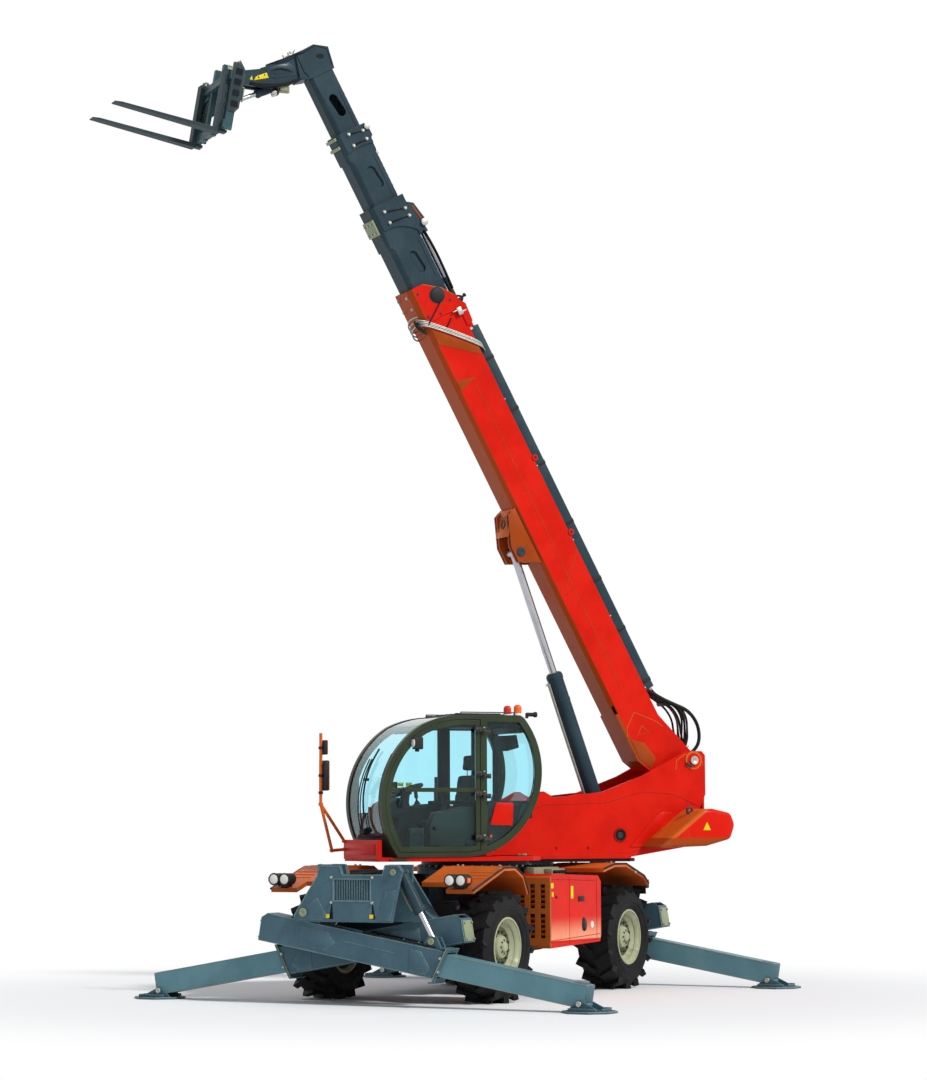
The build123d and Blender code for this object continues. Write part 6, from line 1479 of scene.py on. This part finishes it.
        # pedestal
        on_chassis("ring_bolts", "zinc", copies(bolt(0.028, 0.018), round_about(RING_BOLTS, 36, 1.4, 0.5)))
        blocks = [slab((-0.5, 0.665, 1.29), (0.12, 0.8, 1.392), 0.01),
                  slab((-0.44, 0.8, 1.31), (-0.12, 0.9, 1.375), 0.008)]
        on_chassis("valve_block", "cream", blocks)
        knobs = copies(turned(((0, 0.05), (0.012, 0.048), (0.018, 0.036), (0.018, 0), (0, 0)), 14),
                       [at(-0.38 + 0.075 * k, 0.9, 1.342, LEFTWARD) for k in range(4)])
        on_chassis("valve_knobs", "black", knobs)
        hoses = [pipe(((-0.46 + 0.1 * k, 0.72, 1.385), (-0.46 + 0.1 * k, 0.7, 1.415), (-0.45 + 0.09 * k, 0.64, 1.412),
                       (-0.42 + 0.08 * k, 0.6, 1.385)), 0.011) for k in range(6)]
        on_chassis("valve_hoses", "hose", hoses)
        bolts = copies(bolt(0.03, 0.018), [place for x in (1.15, 1.85, -1.15, -1.85) for z in (0.8, 0.98)
                                           for place in both(x, 0.39, z)])
        on_chassis("frame_bolts", "zinc", bolts)
        return {"FINISHED"}


# ---- wheels: out from the middle of each ---------------------------------------------------------
WHEEL_MIDDLE = 0.983  # from the machine's middle to the middle of a wheel


class TELEHANDLER_OT_wheels(bpy.types.Operator):
    """Hubs, nuts, rim beads and sidewall ribs of the four wheels"""

    bl_idname = "telehandler.wheels"
    bl_label = "Wheels"

    def execute(self, context):
        cap = turned(((0, 0.186), (0.03, 0.186), (0.046, 0.182), (0.056, 0.172), (0.06, 0.16), (0.072, 0.158),
                      (0.08, 0.154), (0, 0.15)), 32)
        nuts = joined([copies(bolt(0.016, 0.01), round_about(0.07, 8, 0.157)),
                       copies(bolt(0.03, 0.022), round_about(0.166, 12, 0.106, 0.5))])
        # a darker olive ring on the rim's dish: painted shade inside the rim
        centre = moved(ring(0.214, 0.13, 0.004, 0.001), at(0, 0, 0.1045))
        lip = turned(((0.292, 0.196), (0.31, 0.196), (0.3135, 0.1995), (0.311, 0.204), (0.3, 0.205), (0.292, 0.2035)),
                     64, ring=True)
        gutter = turned(((0.255, 0.15), (0.262, 0.158), (0.2645, 0.166), (0.262, 0.1665), (0.253, 0.156)), 64,
                        ring=True)
        valve = moved(nozzle(0.006, 0.03, 0.004, 0.032, 0.045, 8),
                      at(0.245, 0, 0.125))
        ribs = []
        for radius, height in ((0.345, 0.2115), (0.4, 0.23), (0.43, 0.2275), (0.47, 0.2225)):
            for hand in (1, -1):
                ribs.append(turned(((radius - 0.006, hand * height), (radius, hand * (height + 0.005)),
                                    (radius + 0.006, hand * height), (radius, hand * (height - 0.006))), 64, ring=True))
        pieces = (("hub_cap_", cap, "rim"), ("wheel_nuts_", nuts, "iron"), ("wheel_centre_", centre, "olive"),
                  ("rim_beads_", joined([lip, gutter]), "rim"), ("valve_", valve, "brass"),
                  ("sidewall_ribs_", joined(ribs), "tyre"))
        for end in CORNERS:
            hub = Vector(JOINTS["wheel_" + end]["pos_m"])
            out = Vector((0, 1 if end.endswith("left") else -1, 0))
            place = Matrix.Translation(hub) @ out.to_track_quat("Z", "X").to_matrix().to_4x4()
            place = place @ Matrix.Translation((0, 0, WHEEL_MIDDLE - abs((hub - CHASSIS.translation).y)))
            spread(pieces, end, "wheel_" + end, place)
        discard(pieces)
        return {"FINISHED"}


# ---- stabilisers: along each leg from its root pin, across it and up ------------------------------
LEG_SLOPE = math.radians(9.8)
# end of the machine, hand and how far along the machine each leg is
LEGS = {
    "front_left": (1, 1, 2.568), "front_right": (1, -1, 2.308),
    "rear_left": (-1, 1, 2.308), "rear_right": (-1, -1, 2.568),
}
OUTER_HALF, OUTER_LOW, OUTER_HIGH = 0.11, -0.392, -0.092
INNER_HALF, INNER_LOW, INNER_HIGH = 0.092, -0.362, -0.122
LEG_ROOT_END, INNER_END = -0.526, 3.31


def on_leg(outline, half, thickness, edge=0.001):
    """The same plate on both sides of a leg."""
    return joined([prism(outline, half - 0.002, half + thickness, edge=edge),
                   prism(outline, -half - thickness, 0.002 - half, edge=edge)])


class TELEHANDLER_OT_legs(bpy.types.Operator):
    """Welds, end caps, guards, pins and hoses of the four stabiliser legs"""

    bl_idname = "telehandler.legs"
    bl_label = "Stabiliser legs"

    def outer_leg(self):
        """Pieces on an outer leg: (name, piece, finish)."""
        lines = []
        for side in (OUTER_HALF, -OUTER_HALF):
            lines.append(bead(((LEG_ROOT_END + 0.02, side, OUTER_LOW + 0.006), (1.6, side, OUTER_LOW + 0.006)), 0.003))
            lines.append(bead(((LEG_ROOT_END + 0.08, side, OUTER_HIGH - 0.006), (1.64, side, OUTER_HIGH - 0.006)),
                              0.003))
            lines.append(bead(((LEG_ROOT_END + 0.003, side, OUTER_LOW + 0.01), (LEG_ROOT_END + 0.003, side, -0.16))))
            lines.append(bead(((0.5, side, -0.212), (1.12, side, -0.218)), 0.0025))
        plates = [on_leg(((-0.02, -0.15), (0.3, -0.15), (0.4, -0.25), (0.3, -0.35), (-0.02, -0.35)), OUTER_HALF,
                         0.0035),
                  on_leg(((1.3, -0.14), (1.42, -0.14), (1.56, -0.3), (1.5, -0.372), (1.32, -0.372)), OUTER_HALF, 0.006)]
        end_cap = [slab((LEG_ROOT_END - 0.01, -0.098, OUTER_LOW + 0.012), (LEG_ROOT_END + 0.002, 0.098, -0.165), 0.003),
                   copies(bolt(0.022, 0.012), [at(LEG_ROOT_END - 0.01, y, z, BACKWARD) for y in (-0.075, 0.075)
                                               for z in (-0.36, -0.19)])]
        guard = [prism(((1.72, OUTER_HIGH + 0.03), (1.64, OUTER_HIGH + 0.006), (1.575, OUTER_HIGH + 0.004),
                        (1.66, OUTER_HIGH + 0.034)), -0.09, 0.09, edge=0.002),
                 slab((1.555, -0.128, OUTER_LOW - 0.052), (1.6, 0.128, OUTER_LOW - 0.04), 0.003)]
        rim = [bead(((1.59, side, OUTER_LOW - 0.046), (1.71, side, OUTER_LOW + 0.33)), 0.006)
               for side in (0.122, -0.122)]
        bolts = [copies(bolt(0.024, 0.014), [at(1.66, side, z, turn) for side, turn in (
                     (0.122, LEFTWARD), (-0.122, RIGHTWARD)) for z in (-0.17, -0.31)]),
                 copies(bolt(0.02, 0.012), [at(x, y, OUTER_HIGH) for x in (1.1, 1.28) for y in (-0.075, 0.075)])]
        pins = copies(boss(0.036, 0.012, 0.004), both(1.5, 0.076, -0.028))
        hoses = [pipe(((0.7, y, OUTER_HIGH + 0.012), (0.95, y * 1.02, OUTER_HIGH + 0.014),
                       (1.18, y, OUTER_HIGH + 0.014), (1.4, y * 1.06, OUTER_HIGH + 0.016),
                       (1.57, y * 1.06, OUTER_HIGH + 0.014)), 0.009) for y in (-0.088, 0.088)]
        return (("leg_welds_", joined(lines), "pale_grey"), ("leg_plates_", joined(plates), "grey"),
                ("leg_end_cap_", joined(end_cap), "cream"), ("leg_guard_", joined(guard), "grey"),
                ("mouth_rim_", joined(rim), "cream"), ("leg_bolts_", joined(bolts), "zinc"),
                ("jack_foot_caps_", pins, "cream"), ("leg_hoses_", joined(hoses), "hose"))

    def inner_leg(self):
        """Pieces on an inner leg: (name, piece, finish)."""
        lines = [bead(((1.76, side, up), (INNER_END - 0.01, side, up)), 0.0028) for side in (INNER_HALF, -INNER_HALF)
                 for up in (INNER_LOW + 0.006, INNER_HIGH - 0.006)]
        cap = [slab((INNER_END - 0.002, -0.086, INNER_LOW + 0.01), (INNER_END + 0.01, 0.086, INNER_HIGH - 0.008),
                    0.003),
               slab((INNER_END - 0.16, -0.06, INNER_HIGH), (INNER_END - 0.02, 0.06, INNER_HIGH + 0.003), 0.001, 1)]
        return ("inner_welds_", joined(lines), "cream"), ("inner_cap_", joined(cap), "grey")

    def pad(self, drop):
        """Pieces on a pad, whose pin is at a height above the floor: (name, piece, finish)."""
        ribs = [slab((-0.1, side - 0.006, 0.02 - drop), (0.22, side + 0.006, 0.052 - drop), 0.002)
                for side in (-0.17, 0.17)]
        ribs.append(slab((0.236, -0.1, 0.018 - drop), (0.25, 0.1, 0.05 - drop), 0.002))
        corners = [(0.06 + 0.2745 * math.cos(a), 0.2745 * math.sin(a), 0.02 - drop)
                   for a in (math.tau * (k + 0.5) / 8 for k in range(9))]
        caps = copies(boss(0.03, 0.01, 0.003), both(0, 0.125, 0))
        return (("pad_ribs_", joined(ribs), "grey"), ("pad_edge_", bead(corners, 0.0045), "cream"),
                ("pad_pin_caps_", caps, "zinc"))

    def execute(self, context):
        outer, inner = self.outer_leg(), self.inner_leg()
        pad = self.pad(JOINTS["stabiliser_front_left_pad"]["pos_m"][2])
        for name, (end, hand, along) in LEGS.items():
            root = Vector(JOINTS["stabiliser_" + name + "_swing"]["pos_m"])
            root.x = CHASSIS.translation.x + end * along
            slope = basis(root, (0, hand * math.cos(LEG_SLOPE), -math.sin(LEG_SLOPE)), (-hand, 0, 0))
            level_leg = basis(JOINTS["stabiliser_" + name + "_pad"]["pos_m"], (0, hand, 0), (-hand, 0, 0))
            for pieces, body, place in ((outer, "leg_", slope), (inner, "leg_inner_", slope), (pad, "pad_", level_leg)):
                spread(pieces, name, body + name, place)
        discard((*outer, *inner, *pad))
        return {"FINISHED"}


class TELEHANDLER_OT_leg_frames(bpy.types.Operator):
    """Pins, grille bolts, marks, gussets and hoses of the frames that hold the legs"""

    bl_idname = "telehandler.leg_frames"
    bl_label = "Stabiliser frames"

    def execute(self, context):
        face, back, pin_face, back_pin_face = 2.716, -2.16, 2.736, -2.14
        caps = [copies(boss(radius, height, 0.004), (at(pin_face, -y, z, FORWARD), at(-back_pin_face, y, z, BACKWARD)))
                for radius, height, y, z in ((0.046, 0.01, 0.58, 0.961), (0.034, 0.008, -0.5, 1.38))]
        bolts = copies(bolt(0.024, 0.014), [at(face, y, z, FORWARD) for y in (-0.245, 0.245) for z in (1.065, 1.325)])
        marks = [slab((face - 0.001, y - 0.052, 0.905), (face + 0.003, y - 0.008, 0.945), 0.0008, 1)
                 for y in (-0.262, 0.262)]
        window = ((-0.225, 1.082), (0.225, 1.082), (0.225, 1.308), (-0.225, 1.308), (-0.225, 1.082))
        outline = ((-0.69, 0.9), (-0.69, 0.938), (-0.418, 1.34), (-0.392, 1.44), (-0.148, 1.44), (-0.118, 1.348),
                   (0.362, 1.348), (0.388, 1.446), (0.552, 1.446), (0.596, 1.39))
        welds = [bead([(face, y, z) for y, z in window], 0.006), bead([(face, y, z) for y, z in outline]),
                 bead([(-back, -y, z) for y, z in outline])]
        ribs = [prism(shape, face - 0.002, face + 0.006, "x", 0.002) for shape in (
            ((-0.66, 0.885), (-0.36, 0.885), (-0.3, 0.93), (-0.42, 1.12), (-0.6, 0.97)),
            ((0.3, 0.885), (0.462, 0.885), (0.53, 1.2), (0.4, 1.18)))]
        hoses = [pipe(((2.12, -0.12 + 0.08 * k, 1.08), (2.3, -0.12 + 0.08 * k, 1.365), (2.45, -0.1 + 0.07 * k, 1.375),
                       (2.58, -0.06 + 0.04 * k, 1.365), (2.66, -0.05 + 0.03 * k, 1.355)), 0.011) for k in range(4)]
        boxes = slab((2.3, -0.2, 1.343), (2.42, 0.2, 1.4), 0.006)
        pieces = (("root_pin_caps_", joined(caps), "cream"), ("grille_bolts_", bolts, "zinc"),
                  ("slot_marks_", joined(marks), "yellow"), ("frame_welds_", joined(welds), "pale_grey"),
                  ("frame_plates_", joined(ribs), "grey"), ("frame_hoses_", joined(hoses), "hose"),
                  ("leg_valve_box_", boxes, "black"))
        for end, turn in (("front", 0), ("rear", math.pi)):
            spread(pieces, end, "chassis", CHASSIS @ Matrix.Rotation(turn, 4, "Z"))
        discard(pieces)
        return {"FINISHED"}


# ---- seat: cushions puffed by a cloth simulation, in the turret's frame -------------------------
SEAT_Y = 0.7
PRESSURE = 3
SETTLING_FRAMES = 12


def cushion(outline, half_width, waist, cap):
    """A pad whose side profile follows an outline. Cloth pressure rounds it; the cap limits the swelling."""
    piece = prism(outline, SEAT_Y - half_width, SEAT_Y + half_width, edge=0.022)
    modify(piece, "REMESH", mode="VOXEL", voxel_size=0.0085)
    modify(piece, "SMOOTH", iterations=6, factor=0.5)
    middle = sum((corner.co for corner in piece.data.vertices), Vector()) / len(piece.data.vertices)
    for corner in piece.data.vertices:
        # sides pull in between the corners
        across = (corner.co.y - SEAT_Y) / half_width
        if abs(across) > 0.85:
            near = 1 - min(1, (corner.co.xz - middle.xz).length / 0.26)
            corner.co.y -= math.copysign(waist * near, across)
    before = [corner.co.copy() for corner in piece.data.vertices]
    cloth = piece.modifiers.new("cloth", "CLOTH")
    cloth.settings.use_pressure = True
    cloth.settings.uniform_pressure_force = PRESSURE
    cloth.settings.quality = 5
    cloth.settings.effector_weights.gravity = 0
    for number in range(1, SETTLING_FRAMES + 1):
        bpy.context.scene.frame_set(number)
    bpy.context.view_layer.objects.active = piece
    bpy.ops.object.modifier_apply(modifier="cloth")
    bpy.context.scene.frame_set(1)
    for corner, place in zip(piece.data.vertices, before):
        shift = corner.co - place
        if shift.length > cap:
            corner.co = place + shift * (cap / shift.length)
    modify(piece, "SMOOTH", iterations=3, factor=0.4)
    return piece


def sewn(piece, inward, seams, depth=0.007, reach=0.012):
    """Presses sewn channels into a pad along seams, each given as an axis and a place on it."""
    for corner in piece.data.vertices:
        for axis, place in seams:
            gap = abs(corner.co[axis] - place)
            if gap < reach:
                corner.co += inward * depth * (1 - gap / reach) ** 2


class TELEHANDLER_OT_seat(bpy.types.Operator):
    """Cushion, backrest, headrest, armrests and suspension of the driver's seat"""

    bl_idname = "telehandler.seat"
    bl_label = "Seat"

    def execute(self, context):
        base = cushion(((0.46, 1.822), (0.915, 1.832), (0.944, 1.868), (0.915, 1.912), (0.47, 1.892)), 0.228, 0.01,
                       0.01)
        sewn(base, -UP, ((1, SEAT_Y + 0.135), (1, SEAT_Y - 0.135), (0, 0.64), (0, 0.78)))
        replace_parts(on_turret("seat_cushion", "fabric", base, 60), "seat")
        back = cushion(((0.412, 1.9), (0.505, 1.925), (0.448, 2.32), (0.43, 2.4), (0.35, 2.4), (0.345, 2.3)), 0.213,
                       0.012, 0.01)
        sewn(back, Vector((-1, 0, 0)), ((1, SEAT_Y + 0.125), (1, SEAT_Y - 0.125), (2, 2.06), (2, 2.2)))
        on_turret("seat_back", "fabric", back, 60)
        head = cushion(((0.352, 2.455), (0.425, 2.455), (0.408, 2.615), (0.345, 2.615)), 0.125, 0.006, 0.008)
        on_turret("seat_headrest", "fabric", head, 60)
        posts = [pipe(((0.385, SEAT_Y + hand * 0.055, 2.37), (0.382, SEAT_Y + hand * 0.055, 2.47)), 0.006, smooth=False)
                 for hand in (1, -1)]
        on_turret("headrest_posts", "zinc", posts)

        pan = [prism(((0.44, 1.795), (0.94, 1.805), (0.955, 1.832), (0.45, 1.826)), SEAT_Y - 0.235, SEAT_Y + 0.235,
                     edge=0.006),
               prism(((0.325, 1.86), (0.4, 1.86), (0.365, 2.4), (0.335, 2.4)), SEAT_Y - 0.205, SEAT_Y + 0.205,
                     edge=0.01)]
        bellows = [slab((0.665 - 0.012 * (k % 2), SEAT_Y - 0.15 - 0.008 * (k % 2), 1.6 + 0.025 * k),
                        (0.89 + 0.008 * (k % 2), SEAT_Y + 0.15 + 0.008 * (k % 2), 1.623 + 0.025 * k), 0.008)
                   for k in range(8)]
        arms = [slab((0.46, SEAT_Y + hand * 0.258 - 0.026, 2.085), (0.76, SEAT_Y + hand * 0.258 + 0.026, 2.125), 0.014,
                     3) for hand in (1, -1)]
        arms += [slab((0.42, SEAT_Y + hand * 0.245 - 0.012, 1.9), (0.47, SEAT_Y + hand * 0.245 + 0.012, 2.11), 0.006)
                 for hand in (1, -1)]
        on_turret("seat_frame", "black", pan + bellows + arms)
        belt = [slab((0.435, SEAT_Y + 0.222, 1.9), (0.5, SEAT_Y + 0.24, 1.99), 0.004),
                slab((0.46, SEAT_Y + 0.226, 1.985), (0.49, SEAT_Y + 0.236, 2.02), 0.002)]
        on_turret("belt_buckle", "red", belt)
        return {"FINISHED"}


# ---- studio -----------------------------------------------------------------------------------
FLOOR_RADIUS = 300
FADE = (4.2, 8.5)  # distances from the machine between which the floor turns white


class TELEHANDLER_OT_studio(bpy.types.Operator):
    """Lay the floor, hang the lights and set up the camera"""

    bl_idname = "telehandler.studio"
    bl_label = "Studio"

    def execute(self, context):
        set_up = context.scene.telehandler_studio
        bpy.ops.mesh.primitive_circle_add(vertices=96, radius=FLOOR_RADIUS, fill_type="NGON")
        floor = context.object
        floor.name = "studio_floor"
        shader = Shader("studio_floor")
        away = shader.node("ShaderNodeVectorMath", {"operation": "LENGTH"}, {0: shader.place}, "Value")
        matt = shader.node("ShaderNodeBsdfDiffuse", {}, {"Color": (0.92, 0.92, 0.92, 1)})
        white = shader.node("ShaderNodeEmission", {}, {"Color": (1, 1, 1, 1), "Strength": 1})
        fade = shader.node("ShaderNodeMixShader", {}, {0: away.ramp(*FADE) * shader.shown(), 1: matt, 2: white})
        shader.node("ShaderNodeOutputMaterial", {}, {"Surface": fade})
        floor.data.materials.append(shader.owner)

        bpy.ops.object.light_add(type="SUN", rotation=(math.radians(52), 0, math.radians(168)))
        key = context.object.data
        key.energy = set_up.sun
        key.angle = math.radians(7)

        sky = Shader("studio_sky", "worlds")
        light = sky.node("ShaderNodeBackground", {}, {"Color": (0.93, 0.96, 1, 1), "Strength": set_up.sky})
        backdrop = sky.node("ShaderNodeBackground", {}, {"Color": (1, 1, 1, 1), "Strength": 1})
        either = sky.node("ShaderNodeMixShader", {}, {0: sky.shown(), 1: light, 2: backdrop})
        sky.node("ShaderNodeOutputWorld", {}, {"Surface": either})
        context.scene.world = sky.owner

        back = Vector((math.cos(set_up.azimuth), math.sin(set_up.azimuth), 0))
        right = Vector((-back.y, back.x, 0))
        looking = UP * math.sin(set_up.pitch) - back * math.cos(set_up.pitch)
        place = CHASSIS.translation + back * set_up.distance + right * set_up.sideways + UP * set_up.height
        bpy.ops.object.camera_add(location=place)
        camera = context.object
        turn = looking.to_track_quat("-Z", "Y").to_matrix().to_4x4()
        camera.matrix_world = Matrix.Translation(place) @ turn @ Matrix.Rotation(-set_up.roll, 4, "Z")
        camera.data.sensor_fit = "HORIZONTAL"
        camera.data.sensor_width = 36
        camera.data.lens = set_up.lens
        camera.data.clip_end = 500
        context.scene.camera = camera
        context.scene.view_settings.view_transform = "Standard"
        return {"FINISHED"}


class TELEHANDLER_OT_paintwork(bpy.types.Operator):
    """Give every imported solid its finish"""

    bl_idname = "telehandler.paintwork"
    bl_label = "Paintwork"

    def execute(self, context):
        make_materials()
        for name, node in frame["nodes"].items():
            node.data.materials.clear()
            node.data.materials.append(finish_of(name))
        return {"FINISHED"}


# ---- the add-on's list of steps, its panel and its run ------------------------------------------
OPERATORS = (
    TELEHANDLER_OT_paintwork, TELEHANDLER_OT_boom_base, TELEHANDLER_OT_boom_duct, TELEHANDLER_OT_root_hoses,
    TELEHANDLER_OT_section_collars, TELEHANDLER_OT_boom_chains, TELEHANDLER_OT_boom_head, TELEHANDLER_OT_carriage,
    TELEHANDLER_OT_tilt_and_lift, TELEHANDLER_OT_cab_outside, TELEHANDLER_OT_cab_inside, TELEHANDLER_OT_seat,
    TELEHANDLER_OT_turret_trim, TELEHANDLER_OT_chassis_trim, TELEHANDLER_OT_wheels, TELEHANDLER_OT_legs,
    TELEHANDLER_OT_leg_frames, TELEHANDLER_OT_studio,
)
SETTINGS = {
    "telehandler_colours": PaintColours, "telehandler_fittings": FittingSizes,
    "telehandler_studio": StudioSettings,
}


class TELEHANDLER_PT_panel(bpy.types.Panel):
    """Buttons for each group of pieces"""

    bl_idname = "TELEHANDLER_PT_panel"
    bl_label = "Telehandler"
    bl_space_type = "VIEW_3D"
    bl_region_type = "UI"
    bl_category = "Telehandler"

    def draw(self, context):
        for operator in OPERATORS:
            self.layout.operator(operator.bl_idname)
        for name, group in SETTINGS.items():
            for setting in group.__annotations__:
                self.layout.prop(getattr(context.scene, name), setting)


def register():
    for made in (*SETTINGS.values(), *OPERATORS, TELEHANDLER_PT_panel):
        bpy.utils.register_class(made)
    for name, group in SETTINGS.items():
        setattr(bpy.types.Scene, name, bpy.props.PointerProperty(type=group))


def unregister():
    for name in SETTINGS:
        delattr(bpy.types.Scene, name)
    for made in (TELEHANDLER_PT_panel, *reversed(OPERATORS), *SETTINGS.values()):
        bpy.utils.unregister_class(made)


def main():
    """Runs every step."""
    register()
    for operator in OPERATORS:
        category, name = operator.bl_idname.split(".")
        getattr(getattr(bpy.ops, category), name)()


if __name__ == "__main__":
    main()
